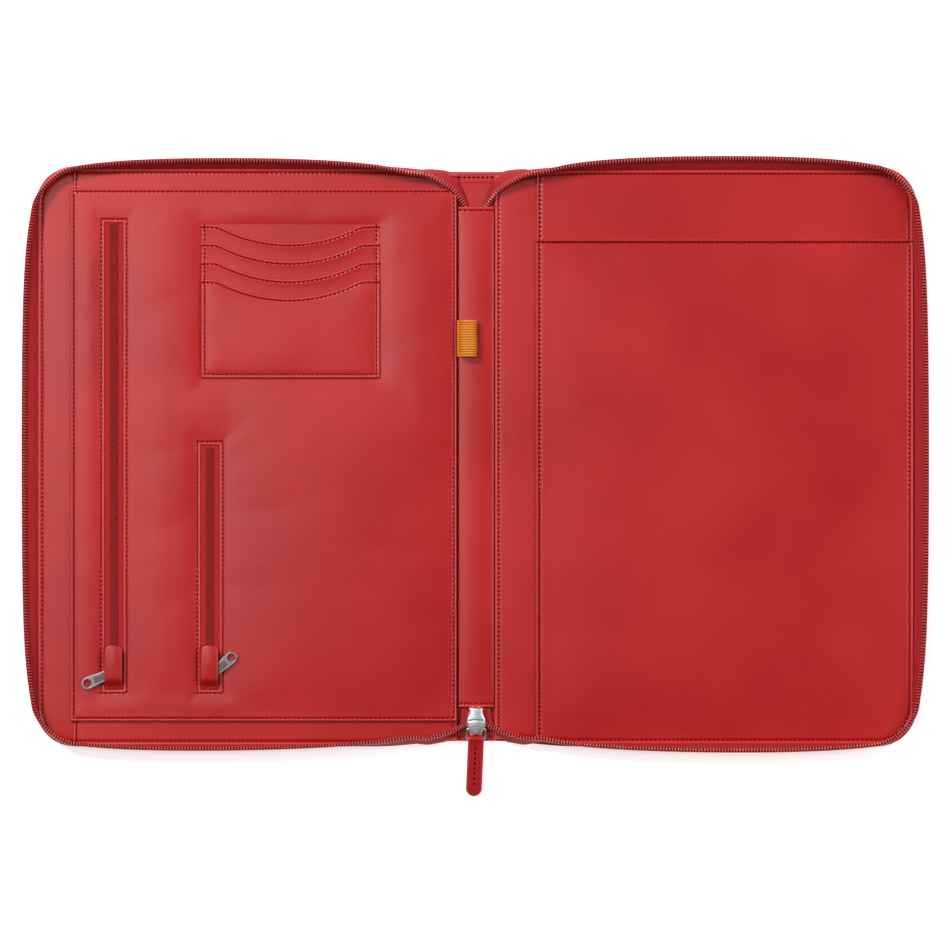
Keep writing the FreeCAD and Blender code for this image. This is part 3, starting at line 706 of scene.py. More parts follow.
def tooth_tree():
    """Coil teeth: one wound loop at each pitch of a path, turned to the path's `across` vector."""
    tree, given = new_tree("coil_teeth", Pitch="Float", Tooth="Object", Nylon="Material")
    points, facing = spaced_points(tree, given)
    tooth = tree.nodes.new("GeometryNodeObjectInfo")
    tree.links.new(given["Tooth"], tooth.inputs["Object"])
    across = add_node(tree, "GeometryNodeInputNamedAttribute", {"data_type": "FLOAT_VECTOR"}, Name="across")
    turned = add_node(tree, "FunctionNodeAlignRotationToVector", {"axis": "Y", "pivot_axis": "X"},
                      Rotation=facing, Vector=across)
    placed = add_node(tree, "GeometryNodeInstanceOnPoints", Points=points,
                      Instance=tooth.outputs["Geometry"], Rotation=turned)
    return finish_tree(tree, placed, given["Nylon"])


def rib_tree():
    """Elastic's ribs: a loop of cord repeated at each pitch along Y."""
    tree, given = new_tree("elastic_ribs", Count="Int", Pitch="Float", Radius="Float", Elastic="Material")
    curve = add_node(tree, "GeometryNodeMeshToCurve", Mesh=given["Path"])
    scatter = tree.nodes.new("FunctionNodeRandomValue")
    scatter.data_type = "FLOAT_VECTOR"
    scatter.inputs["Seed"].default_value = RIB_SEED
    scatter.inputs[0].default_value = (-RIB_SCATTER * MM, 0.0, -RIB_SCATTER * MM)
    scatter.inputs[1].default_value = (RIB_SCATTER * MM, 0.0, RIB_SCATTER * MM)
    step = add_node(tree, "ShaderNodeCombineXYZ", X=0.0, Y=given["Pitch"], Z=0.0)
    places = add_node(tree, "GeometryNodeMeshLine", {"mode": "OFFSET"}, Count=given["Count"], Offset=step)
    section = add_node(tree, "GeometryNodeCurvePrimitiveCircle", Resolution=8, Radius=given["Radius"])
    cord = add_node(tree, "GeometryNodeCurveToMesh", Curve=curve, Profile_Curve=section)
    uneven = add_node(tree, "GeometryNodeSetPosition", Geometry=places, Offset=scatter.outputs[0])
    placed = add_node(tree, "GeometryNodeInstanceOnPoints", Points=uneven, Instance=cord)
    return finish_tree(tree, placed, given["Elastic"])


STITCHES = stitch_tree()
TEETH = tooth_tree()
RIBS = rib_tree()


def grown(name, paths, tree, inputs, across=None):
    """Runs a tree over paths, lists of points in millimetres with True if closed, to a plain mesh."""
    points, edges = [], []
    for path, closed in paths:
        first = len(points)
        points.extend(path)
        edges.extend((first + step, first + step + 1) for step in range(len(path) - 1))
        if closed:
            edges.append((len(points) - 1, first))
    mesh = bpy.data.meshes.new(name + "_path")
    mesh.from_pydata((np.asarray(points, float) * MM).tolist(), edges, [])
    if across is not None:
        layer = mesh.attributes.new("across", "FLOAT_VECTOR", "POINT")
        layer.data.foreach_set("vector", np.asarray(across, np.float32).ravel())
    source = link(name + "_path", mesh)
    modifier = source.modifiers.new(name, "NODES")
    modifier.node_group = tree
    for socket in tree.interface.items_tree:
        if socket.item_type == "SOCKET" and socket.in_out == "INPUT" and socket.name in inputs:
            modifier[socket.identifier] = inputs[socket.name]
    bpy.context.view_layer.update()
    graph = bpy.context.evaluated_depsgraph_get()
    made = bpy.data.meshes.new_from_object(source.evaluated_get(graph), depsgraph=graph)
    bpy.data.objects.remove(source)
    made.polygons.foreach_set("use_smooth", [True] * len(made.polygons))
    made.name = name
    return link(name, made)


def stitched(name, paths, material=THREAD, width=1.1, height=0.45, length=0.80, slant=0.30,
             pitch=STITCH_PITCH):
    """Seams of thread along paths."""
    return grown(name, paths, STITCHES, {
        "Pitch": pitch * MM, "Length": pitch * length * MM, "Width": width * MM,
        "Height": height * MM, "Slant": slant, "Thread": material})


def rounded_path(low, high, radii, z, inset):
    """Points round a rectangle with rounded corners, anticlockwise from the lower left."""
    x0, x1, y0, y1 = low[0] + inset, high[0] - inset, low[1] + inset, high[1] - inset
    points = []
    for (sx, sy), x, y, angle in (((-1, -1), x0, y0, 180), ((1, -1), x1, y0, 270),
                                  ((1, 1), x1, y1, 0), ((-1, 1), x0, y1, 90)):
        radius = radii.get((sx, sy), 0) - inset
        if radius <= 0:
            points.append((x, y, z))
        else:
            turn = arc(x - sx * radius, y - sy * radius, radius, angle, 90, 8)
            points.extend((*point, z) for point in turn)
    return points


def subdivided(corners, step=6):
    """A path's points with more put in, no further apart than `step`, without its last one."""
    points = []
    for start, end in zip(corners, corners[1:]):
        steps = max(1, int(math.dist(start, end) / step))
        for share in np.arange(steps) / steps:
            points.append([a + (b - a) * share for a, b in zip(start, end)])
    return points


# ---- outline of the covers -------------------------------------------------------------------
def edge_height(x):
    """Half height of the shell's edge at a distance x from the spine's centre line."""
    share = np.clip((np.abs(x) - FOLD_X) / (TAPER_X - FOLD_X), 0, 1)
    return SPINE_HALF + share * share * (3 - 2 * share) * (HALF - SPINE_HALF)


def drawn_in(x, y):
    """Pulls the top and bottom edges in towards the spine, as the shell's are."""
    pull = HALF - edge_height(x)
    return x, y - np.sign(y) * pull * np.clip((np.abs(y) - 120) / (HALF - 120), 0, 1) ** 2


def edge_lean(x, middle, spine_decay):
    """Lean in degrees along the top or bottom edge, from the corner's to the spine's."""
    corner_distance = REACH - CORNER - x + CORNER * math.pi / 4
    lean = middle - (middle - CORNER_LEAN) * math.exp(-corner_distance / CORNER_DECAY)
    return lean - (middle - SPINE_LEAN) * math.exp(-(x - SPINE_LEAN_X) / spine_decay)


def side_lean(y, middle):
    """Lean in degrees along the side edge."""
    corner_distance = HALF - CORNER - abs(y) + CORNER * math.pi / 4
    return middle - (middle - CORNER_LEAN) * math.exp(-corner_distance / CORNER_DECAY)


def corner_lean(angle, start, end):
    """Lean in degrees round a corner, most inward at its middle."""
    straight = start + (end - start) * angle / (math.pi / 2)
    return straight + (CORNER_LEAN - (start + end) / 2) * math.sin(angle * 2)


def smooth_between(points, steps):
    """Catmull-Rom curve through points, `steps` to a span."""
    points = [np.array(point, float) for point in points]
    points = [2 * points[0] - points[1]] + points + [2 * points[-1] - points[-2]]
    curve = []
    for index in range(1, len(points) - 2):
        a, b, c, d = points[index - 1:index + 3]
        for step in range(steps):
            t = step / steps
            curve.append(0.5 * (2 * b + (c - a) * t + (2 * a - 5 * b + 4 * c - d) * t ** 2
                                + (3 * b - a - 3 * c + d) * t ** 3))
    curve.append(points[-2])
    return curve


def wall_line(leans, hem_in):
    """Stations of the right-hand tape from its bottom end to its top end: hem and chain points."""
    centre_x, centre_y = REACH - CORNER, HALF - CORNER
    radius = CORNER - WALL_INSET
    quarter = math.pi / 2
    stands = []                # x, y, outward direction, lean

    def straight(places, sign, edge):
        for x in places:
            stands.append((x, sign * (edge_height(x) - WALL_INSET), sign * quarter,
                           edge_lean(x, leans[edge], leans[edge + "_decay"])))

    def corner(y, turned, start, end):
        for step in range(1, CORNER_STEPS):
            angle = quarter * step / CORNER_STEPS
            stands.append((centre_x + radius * math.cos(angle + turned),
                           y + radius * math.sin(angle + turned), angle + turned,
                           corner_lean(angle, start, end)))

    lower, upper = (edge_lean(centre_x, leans[edge], leans[edge + "_decay"]) for edge in ("bottom", "top"))
    side = side_lean(centre_y, leans["side"])
    straight(np.linspace(WALL_START, centre_x, 60), -1, "bottom")
    corner(-centre_y, -quarter, lower, side)
    for y in np.linspace(-centre_y, centre_y, 70):
        stands.append((REACH - WALL_INSET, y, 0.0, side_lean(y, leans["side"])))
    corner(centre_y, 0.0, side, upper)
    straight(np.linspace(centre_x, WALL_START, 60), 1, "top")

    evened = np.array([lean for *_, lean in stands])
    for _ in range(LEAN_SMOOTHING):
        evened[1:-1] = (evened[:-2] + 2 * evened[1:-1] + evened[2:]) / 4
    reach = TAPE_SLOPE + CHAIN_SLOPE / 2
    stations = []
    for (x, y, direction, _), lean in zip(stands, np.radians(evened)):
        out = -0.3 + reach * math.sin(lean)
        cos, sin = math.cos(direction), math.sin(direction)
        stations.append((x - hem_in * cos, y - hem_in * sin, HEM_Z,
                         x + out * cos, y + out * sin, KNEE_Z + reach * math.cos(lean)))
    below, above = ([hem + chain for hem, chain in dive] for dive in (reversed(BOTTOM_DIVE), TOP_DIVE))
    bottom = smooth_between(below + stations[:1], DIVE_STEPS)
    top = smooth_between(stations[-1:] + above, DIVE_STEPS)
    line = np.array([*bottom[:-1], *stations, *top[1:]], float)
    return line[:, :3].copy(), line[:, 3:].copy()


# ---- zip round the edge ----------------------------------------------------------------------
def tooth_shape(name, width, height, wire):
    """One coil tooth: a flat wound loop of nylon, `width` across the tape and `height` through it."""
    turns = np.linspace(0, 2 * math.pi, 12, endpoint=False)
    path = np.stack([wire * TOOTH_LEAN * np.sin(turns * 2), width / 2 * np.cos(turns),
                     height / 2 * np.sin(turns)], -1)
    side = np.broadcast_to((1.0, 0, 0), path.shape)
    up = np.cross(round_loop(path), side)
    points = rings_round(path, side * wire, up * wire, 5)
    tooth = mesh_piece(name, points, tube_faces(len(path), 5, looped=True), PAINTED_GLINT_COIL)
    tooth.hide_render = True
    return tooth


def tape_piece(name, hem, chain):
    """The woven tape between a hem line and a chain line, rising steeply and then leaning over."""
    across = 11
    forward = unit(np.gradient(chain, axis=0))
    span = chain - hem
    flat = span * (1, 1, 0)
    length = np.maximum(np.linalg.norm(flat, axis=1), 1e-6)[:, None]
    distance = np.concatenate([[0], np.cumsum(np.linalg.norm(np.diff(hem, axis=0), axis=1))])
    rows, uv = [], []
    for share in np.linspace(0, 1.12, across):
        bow = 1.3 * math.sin(min(share, 1) * math.pi)
        rows.append(hem + span * share - flat / length * bow * np.clip(length / 6, 0, 1))
        uv.append(np.stack([distance, np.full(len(hem), share * TAPE_WIDTH)], -1))
    rows, uv = np.stack(rows, 1), np.stack(uv, 1)
    slope = np.gradient(rows, axis=1)
    normal = unit(np.cross(np.broadcast_to(forward[:, None], slope.shape), slope)) * TAPE_THICK / 2
    ring = np.concatenate([rows + normal, (rows - normal)[:, ::-1]], 1)
    uv = np.concatenate([uv, uv[:, ::-1]], 1)
    return outward(mesh_piece(name, ring.reshape(-1, 3), tube_faces(len(hem), 2 * across), TAPE,
                              uv=uv.reshape(-1, 2)))


def coil_core(name, chain, span):
    """Flat cord that runs inside the wound coil."""
    normal = unit(np.cross(np.gradient(chain, axis=0), span))
    points = rings_round(chain, span * 1.5, normal * 0.95, 8)
    return outward(mesh_piece(name, points, tube_faces(len(chain), 8), EDGE_CORE))


def edge_zip(side, sign, tooth):
    """One half of the zip: its tape and its teeth."""
    hem, chain = wall_line(LEANS[side], LINER_INSET[side] - WALL_INSET + HEM_UNDER)
    hem[:, 0] *= sign
    chain[:, 0] *= sign
    tape = tape_piece(side + "_edge_tape", hem, chain)
    span = unit(chain - hem)
    chain = chain + unit(np.cross(np.gradient(chain, axis=0), span)) * -sign * CHAIN_PROUD
    teeth = grown(side + "_edge_teeth", [(chain, False)], TEETH,
                  {"Pitch": TOOTH_PITCH * MM, "Tooth": tooth, "Nylon": PAINTED_GLINT_COIL}, across=span)
    core = coil_core(side + "_coil_core", chain, span)
    declare(core, "zip_coil", None)
    declare(tape, "zip_tape", None, side + "_zip_tape", side + "_top_zip_tail", side + "_bottom_zip_tail")
    declare(teeth, "zip_coil", None, side + "_zip_chain")
    for piece in (core, tape, teeth):
        over_fold(piece, sign)


def over_fold(piece, sign, outer=17.0, inner=7.0):
    """Bakes a piece's transform into its mesh."""
    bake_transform(piece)


# ---- covers ----------------------------------------------------------------------------------
COVER_CORNERS = {(1, 1): CORNER, (1, -1): CORNER}
LINER_CORNERS = {side: {(1, 1): CORNER - inset, (1, -1): CORNER - inset}
                 for side, inset in LINER_INSET.items()}
RIM_SEAM = 2.6                # seam line of the parts sewn in round a cover's edge
SHELL_FOLD = (13.5, 6.5)      # the shell's fold lies between these distances from the spine's middle; nothing here bends it


def mirrored_corners(radii, sign):
    """Corners of the left-hand cover from those of the right-hand one."""
    return {(sx * sign, sy): radius for (sx, sy), radius in radii.items()}


def cover_range(sign, inner, outer):
    """Lowest and highest x of something on the right-hand (1) or left-hand (-1) cover."""
    return (inner, outer) if sign > 0 else (-outer, inner)


def outer_shell(side, sign):
    """Half of the outer leather: a cover and half of the spine."""
    x_lines = grid_lines(*cover_range(sign, 0.0, REACH), 6.0, [sign * REACH])
    folds = np.linspace(0, 24, 17) * sign
    x_lines = np.unique(np.round(np.concatenate([x_lines[np.abs(x_lines) > 24], folds]), 3))
    y_lines = grid_lines(-HALF, HALF, 6.0, [-HALF, -HALF + 5.5, HALF - 5.5, HALF])

    def top(x, y, *_):
        edge = np.minimum(distance_to_sides(x, y), 6)
        relief = Relief(x, y, SHELL_TOP)
        relief.z -= 0.35 * (1 - fold_rise(edge, 0.6))
        hem = HALF - np.abs(y)
        relief.sew(hem, x, 3.4, 0.2)
        relief.z -= 0.35 / (1 + np.exp(-(hem - 7.2) / 0.15))
        # Paler shell edge and a pale line at the hem's crease: partly wear, partly a painted highlight.
        relief.wear = np.maximum(0.6 * np.exp(-edge / 0.8), 0.5 * np.exp(-(((hem - 6.9) / 0.3) ** 2)))
        return relief

    def under(x, y):
        edge = np.minimum(distance_to_sides(x, y), 6)
        return 0.55 * (1 - fold_rise(edge, 0.6)) + seam_dip(edge, RIM_SEAM, 0.16, 0.5)

    piece = panel(side + "_leather_shell", x_lines, y_lines, under, top, OUTER,
                  mirrored_corners(COVER_CORNERS, sign), draw_in=drawn_in)
    nodes = [side + "_outer_shell"] + (["spine_outer_shell"] if sign > 0 else [])
    declare(piece, "outer_leather", None, *nodes)
    over_fold(piece, sign, *SHELL_FOLD)


def distance_to_sides(x, y):
    """Distance inside the open case's outline, so not from the fold at the spine."""
    radii = {(sx, sy): CORNER for sx in (1, -1) for sy in (1, -1)}
    return rounded_distance(x, y, (-REACH, -HALF), (REACH, HALF), radii)


def liner(side, sign, z_low, z_top, inner_x):
    """The cover's inner lining, beaded and sewn round its edge."""
    outer, half = REACH - LINER_INSET[side], HALF - LINER_INSET[side]
    x_range = cover_range(sign, inner_x, outer)
    x_lines = grid_lines(*x_range, 5.0, x_range)
    y_lines = grid_lines(-half, half, 5.0, [-half, half])
    field = cloth_field(side + "_lining_cloth", x_range, (-half, half), 0.45)

    def top(x, y, distance, _):
        relief = Relief(x, y, z_top)
        run = nearest_run(np.minimum(x - x_range[0], x_range[1] - x), half - np.abs(y))
        relief.fold(distance, run, z_top - z_low, 0.55, RIM_SEAM, 0.5)
        relief.swell(0.35, 8.0, field)
        return relief

    piece = panel(side + "_lining", x_lines, y_lines, z_low, top, LINING,
                  mirrored_corners(LINER_CORNERS[side], sign), draw_in=drawn_in)
    return declare(piece, "lining_leather", side + "_cover", side + "_base_liner")


def perimeter_seam(side, sign, inner_x, z):
    """Seam round a lining, following its drawn-in edge."""
    outer, half = REACH - LINER_INSET[side], HALF - LINER_INSET[side]
    x_low, x_high = cover_range(sign, inner_x, outer)
    corners = rounded_path((x_low, -half), (x_high, half), mirrored_corners(LINER_CORNERS[side], sign),
                           z, RIM_SEAM)
    points = np.array(subdivided(corners + corners[:1]))
    points[:, 0], points[:, 1] = drawn_in(points[:, 0], points[:, 1])
    return points


def flat_pocket(name, body, node, x_range, y_range, z_low, folds, under_rim, waves, puff, rim_sag,
                radii=None):
    """A pocket panel. `folds` names its folded, stitched sides; `under_rim` the sides sewn into the
    cover's own seam."""
    x_lines = grid_lines(*x_range, 4.5, x_range)
    y_lines = grid_lines(*y_range, 4.5, y_range)
    field = cloth_field(name + "_cloth", x_range, y_range, waves)

    def top(x, y, distance, _):
        gaps = {"left": x - x_range[0], "right": x_range[1] - x,
                "bottom": y - y_range[0], "top": y_range[1] - y}
        gap_x, gap_y = np.minimum(gaps["left"], gaps["right"]), np.minimum(gaps["top"], gaps["bottom"])
        relief = Relief(x, y, z_low + LEATHER)
        for side in folds:
            relief.fold(gaps[side], gap_y if side in ("left", "right") else gap_x, LEATHER * 0.8)
        rim = distance if radii else np.minimum.reduce([gaps[side] for side in under_rim])
        relief.fold(rim, nearest_run(gap_x, gap_y), LEATHER * 0.6, 0.45, RIM_SEAM, 0.45)
        relief.z += rim_sag * np.exp(-np.clip(rim, 0, None) / 5)
        relief.swell(puff, 13.0, field)
        return relief

    piece = panel(name, x_lines, y_lines, z_low, top, LINING, radii, draw_in=drawn_in)
    width, height = x_range[1] - x_range[0] + 14, y_range[1] - y_range[0] + 14
    width * MM
    height * MM
    return declare(piece, "lining_leather", body, node)


def cloth_field(name, x_range, y_range, amount, held=lambda x, y: False):
    """Unevenness of a sewn-down sheet cut slightly too large, by cloth simulation. Returns its height
    over the cover, in millimetres, as a function of x and y. It is sewn down along its edges and
    where `held` says."""
    xs = np.linspace(*x_range, int((x_range[1] - x_range[0]) / CLOTH_CELL) + 1)
    ys = np.linspace(*y_range, int((y_range[1] - y_range[0]) / CLOTH_CELL) + 1)
    x, y = np.meshgrid(xs, ys, indexing="ij")
    start = 0.3 + ripple(x, y, len(name), 70.0, 0.25)
    index = np.arange(x.size).reshape(x.shape)
    faces = np.stack([index[:-1, :-1], index[1:, :-1], index[1:, 1:], index[:-1, 1:]], -1).reshape(-1, 4)
    sheet = mesh_piece(name, np.stack([x, y, start], -1).reshape(-1, 3), faces, None)
    gap = np.minimum(np.minimum(x - xs[0], xs[-1] - x), np.minimum(y - ys[0], ys[-1] - y))
    sewn = [int(i) for i in index.ravel() if gap.flat[i] < SEWN_MARGIN or held(x.flat[i], y.flat[i])]
    sheet.vertex_groups.new(name="sewn").add(sewn, 1.0, "REPLACE")
    cloth = sheet.modifiers.new("cloth", "CLOTH")
    cloth.settings.vertex_group_mass = "sewn"
    cloth.settings.quality = 5
    cloth.settings.mass = 0.25
    cloth.settings.tension_stiffness = cloth.settings.compression_stiffness = 20.0
    cloth.settings.shear_stiffness = 10.0
    cloth.settings.bending_stiffness = 1.5
    cloth.settings.shrink_min = cloth.settings.shrink_max = -0.008
    cloth.collision_settings.use_collision = False
    scene = bpy.context.scene
    usual = scene.gravity.copy()
    scene.gravity = (0, 0, 1.2)
    for step in range(1, CLOTH_FRAMES + 1):
        scene.frame_set(step)
    graph = bpy.context.evaluated_depsgraph_get()
    shape = sheet.evaluated_get(graph).to_mesh()
    height = np.array([vertex.co.z for vertex in shape.vertices]).reshape(x.shape) / MM
    scene.frame_set(1)
    scene.gravity = usual
    bpy.data.objects.remove(sheet)
    height -= height.min()
    height *= amount / max(1e-6, np.percentile(height, 97))

    def field(at_x, at_y):
        return spline_blend(height, (at_x - xs[0]) / (xs[1] - xs[0]), (at_y - ys[0]) / (ys[1] - ys[0]))

    return field


def spline_blend(grid, across, along):
    """Value of a grid of numbers at fractional places, through cubic B-splines."""
    padded = np.pad(grid, 2, mode="edge")
    spots = []
    for place, count in zip((across, along), grid.shape):
        place = np.clip(place, 0, count - 1.001)
        cell = place.astype(int)
        t = place - cell
        weights = ((1 - t) ** 3, 3 * t ** 3 - 6 * t ** 2 + 4, 1 + 3 * t * (1 + t - t * t), t ** 3)
        spots.append((cell, weights))
    (i, weights_i), (j, weights_j) = spots
    total = np.zeros_like(across)
    for a in range(4):
        for b in range(4):
            total += padded[i + a + 1, j + b + 1] * weights_i[a] * weights_j[b] / 36
    return total


def seam_line(start, end, z, steps=40):
    """Points along a straight seam."""
    start, end = np.array(start + (z,)), np.array(end + (z,))
    return [tuple(start + (end - start) * step / steps) for step in range(steps + 1)]


def right_cover():
    """Lining, back pocket and front pocket of the right-hand cover, with their seams."""
    low, high = limits("right_base_liner")
    back_low = limits("right_back_pocket")[0]
    front_low, front_high = limits("right_front_pocket")
    outer, half = REACH - LINER_INSET["right"], HALF - LINER_INSET["right"]
    corners = LINER_CORNERS["right"]
    lining = liner("right", 1, low.z, high.z, low.x)
    back = flat_pocket("right_back_panel", "right_cover", "right_back_pocket", (back_low.x, outer),
                       (-half, half), back_low.z, ["left"], ["right", "top", "bottom"],
                       waves=0.5, puff=0.25, rim_sag=0.35, radii=corners)
    front = flat_pocket("right_front_panel", "right_cover", "right_front_pocket", (back_low.x - 0.3, outer),
                        (-half, front_high.y), front_low.z, ["left", "top"], ["right", "bottom"],
                        waves=0.9, puff=1.0, rim_sag=0.9, radii={(1, -1): corners[(1, -1)]})
    x, y, z = back_low.x + STITCH_IN, front_high.y - STITCH_IN, front_high.z + 0.25
    seams = [(perimeter_seam("right", 1, low.x, high.z + 1.4), True),
             (seam_line((x, -half + 4), (x, half - 4), z), False),
             (seam_line((x, y), (outer - 3, y), z), False)]
    seat_and_ride("right_seams", seams, [front, back, lining], "right_cover")


def seat_and_ride(name, paths, onto, body):
    """Stitches along paths, each dropped onto the pieces under it, riding on a body."""
    declare(stitched(name, [(seat(path, onto), closed) for path, closed in paths]), "lining_leather", body)


def seat(path, onto, sink=0.02):
    """Path dropped straight down onto the highest of some pieces."""
    trees = [surface_tree(piece) for piece in onto]
    seated = []
    for x, y, z in path:
        hits = [tree.ray_cast(Vector((x * MM, y * MM, 0.05)), Vector((0, 0, -1)))[0] for tree in trees]
        heights = [hit.z for hit in hits if hit is not None]
        seated.append((x, y, max(heights) / MM + sink if heights else z))
    return seated


TREES = {}


def surface_tree(piece):
    """What a path is dropped onto, made once for each piece."""
    if piece.name not in TREES:
        mesh = piece.data
        TREES[piece.name] = BVHTree.FromPolygons([vertex.co for vertex in mesh.vertices],
                                                 [polygon.vertices for polygon in mesh.polygons])
    return TREES[piece.name]


# ---- organiser -------------------------------------------------------------------------------
def windows():
    """Openings of the two zip windows: (x_low, x_high, y_low, y_high), long one first."""
    spaces = []
    for name in ("long", "short"):
        flap_low, flap_high = limits(name + "_flap")
        coil_high = limits(name + "_zip_right_coil")[1]
        middle = (flap_low.x + flap_high.x) / 2
        spaces.append((middle - 5.5, middle + 5.5, flap_low.y - 0.5, coil_high.y + 0.4))
    return spaces


def left_cover():
    """Lining, back panel and organiser of the left-hand cover, with their seams."""
    low, high = limits("left_base_liner")
    lining = liner("left", -1, low.z, high.z, high.x)
    half = HALF - LINER_INSET["left"]
    back_low, back_high = limits("left_back_pocket")
    back = flat_pocket("left_back_panel", "left_cover", "left_back_pocket", (back_low.x, back_high.x),
                       (-half, half), back_low.z, ["left"], ["top", "bottom"],
                       waves=0.4, puff=0.2, rim_sag=0.25)
    panel_piece, panel_seams = organiser()
    x = back_low.x + STITCH_IN
    seams = [(perimeter_seam("left", -1, high.x, high.z + 1), True),
             (seam_line((x, -half + 4), (x, half - 4), back_high.z), False)]
    seat_and_ride("left_seams", seams, [lining, back], "left_cover")
    seat_and_ride("organiser_seams", panel_seams, [panel_piece], "left_cover")
    card_slots()


def organiser():
    """The raised panel with its two zip windows, sewn on all round."""
    low, high = limits("organiser_panel")
    high.y += 0.9
    holes = windows()
    card_low, card_high = limits("card_slot_1")
    x_dense = [low.x, high.x] + [edge for hole in holes for edge in hole[:2]]
    y_dense = [low.y, high.y, holes[0][2], holes[0][3], holes[1][3]]
    x_lines = grid_lines(low.x, high.x, 4.0, x_dense, 4.0)
    y_lines = grid_lines(low.y, high.y, 4.0, y_dense, 4.0)
    base = limits("left_back_pocket")[1].z

    def held(x, y):
        """Sewn down round each window, and flat under the card slots."""
        return (any(x0 - 5 < x < x1 + 5 and y0 - 5 < y < y1 + 5 for x0, x1, y0, y1 in holes)
                or (card_low.x < x < card_high.x and card_low.y < y < card_high.y))

    field = cloth_field("organiser_cloth", (low.x, high.x), (low.y, high.y), 1.3, held)

    def top(x, y, distance, hole):
        relief = Relief(x, y, high.z)
        gap_x, gap_y = np.minimum(x - low.x, high.x - x), np.minimum(y - low.y, high.y - y)
        relief.fold(distance, nearest_run(gap_x, gap_y), (high.z - base) * 0.75, 0.35)
        side = np.min([np.minimum(np.abs(x - x0), np.abs(x - x1)) for x0, x1, _, _ in holes], axis=0)
        end = np.min([np.minimum(np.abs(y - y0), np.abs(y - y1)) for _, _, y0, y1 in holes], axis=0)
        relief.fold(hole, nearest_run(side, end), 0.75, 0.12, 2.1, 0.34)
        card = np.maximum(np.maximum(card_low.x - x, x - card_high.x),
                          np.maximum(card_low.y - y, y - card_high.y)).clip(0, None)
        relief.room = np.minimum(relief.room, card)
        relief.swell(0.75, 16.0, field)
        relief.z -= 0.3 * np.exp(-card / 2.5)
        relief.z += 0.9 * np.exp(-(y - low.y) / 5.0)
        return relief

    piece = panel("organiser", x_lines, y_lines, base + 0.15, top, LINING, holes=holes)
    declare(piece, "lining_leather", "left_cover", "organiser_panel")
    seams = [(ring_points(low.x, high.x, low.y, high.y, STITCH_IN, high.z), True)]
    for x0, x1, y0, y1 in holes:
        seams.append((ring_points(x0, x1, y0, y1, -2.1, high.z), True))
    return piece, seams


def ring_points(x0, x1, y0, y1, inset, z):
    """Rectangle of points, `inset` inside or, if negative, outside."""
    x0, x1, y0, y1 = x0 + inset, x1 - inset, y0 + inset, y1 - inset
    corners = [(x0, y0), (x1, y0), (x1, y1), (x0, y1), (x0, y0)]
    return [point for start, end in zip(corners, corners[1:]) for point in seam_line(start, end, z)[:-1]]


def card_slots():
    """Stepped card slots with scooped, folded and stitched mouths."""
    first_low, first_high = limits("card_slot_1")
    left, right, bottom = first_low.x, first_high.x, first_low.y
    scoop = (left + 9.6, right - 11.0)
    depth = 11.0
    middle = (scoop[0] + scoop[1]) / 2
    half_width = (scoop[1] - scoop[0]) / 2
    radius = (half_width ** 2 + depth ** 2) / (2 * depth)

    def mouth(x, shoulder):
        """Height of a slot's scooped edge, its shoulders blended into the arc."""
        out = np.abs(x - middle)
        dip = np.sqrt(np.clip(radius ** 2 - out ** 2, 0, None)) - (radius - depth)
        soft = 0.5 * (dip + np.sqrt(dip ** 2 + 0.6))
        return shoulder - np.where(out < half_width + 6, soft, 0)

    pieces, seams = [], []
    x_lines = grid_lines(left, right, 2.4, [left, right], 3.0)
    from_mouth = np.array(SEAM_OFFSETS + (5, 7, 10))
    from_foot = np.array((0, 0.3, 0.85, 1.5, 2, 2.5, 3.6, 6))
    line_x = np.linspace(left + 1.0, right - 1.0, 60)
    for index in range(4):
        node = "card_slot_%d" % (index + 1)
        high = limits(node)[1]
        tall = high.y - bottom
        shares = np.unique(np.concatenate([1 - from_mouth / tall, from_foot / tall,
                                           np.linspace(0.15, 0.85, 12)]))
        x, share = np.meshgrid(x_lines, shares, indexing="ij")
        edge = mouth(x, high.y)
        below = (1 - share) * tall
        fall = np.clip(below / 34, 0, 1)
        y = edge - below + fall * fall * (3 - 2 * fall) * (high.y - edge)
        z_base = first_low.z - 0.1 + 0.42 * index
        relief = Relief(x, y, z_base + 0.95)
        gap_side = np.minimum(x - left, right - x)
        relief.fold(below, gap_side, 0.75, 0.28, STITCH_IN, 0.3)
        if index < 3:
            relief.z -= 0.5 * (1 - np.exp(-np.clip(below - 2.6, 0, None) / 3.5))
        relief.fold(gap_side, np.minimum(below, y - bottom), 0.8, 0.0, STITCH_IN, 0.35)
        if index == 3:
            relief.fold(y - bottom, gap_side, 0.8, 0.0, STITCH_IN, 0.35)
            relief.swell(0.8, 9.0)
            relief.z += ripple(x, y, 44, 45.0, 0.12) * np.clip(relief.room / 12, 0, 1)
        piece = sheet_from_grid("card_slot_leather_%d" % (index + 1), x, y, relief.z, z_base, LINING,
                                relief.shades())
        pieces.append(declare(piece, "lining_leather", "left_cover", node))
        seams.append(([(x, float(mouth(x, high.y)) - STITCH_IN, high.z) for x in line_x.tolist()], False))
    x0, x1, y0, y1 = left + STITCH_IN, right - STITCH_IN, bottom + STITCH_IN, first_high.y - 1
    sides = [(x0, y1), (x0, y0), (x1, y0), (x1, y1)]
    path = [point for start, end in zip(sides, sides[1:])
            for point in seam_line(start, end, first_high.z, 30)[:-1]]
    seams.append((path + [sides[-1] + (first_high.z,)], False))
    seat_and_ride("card_slot_seams", seams, pieces, "left_cover")


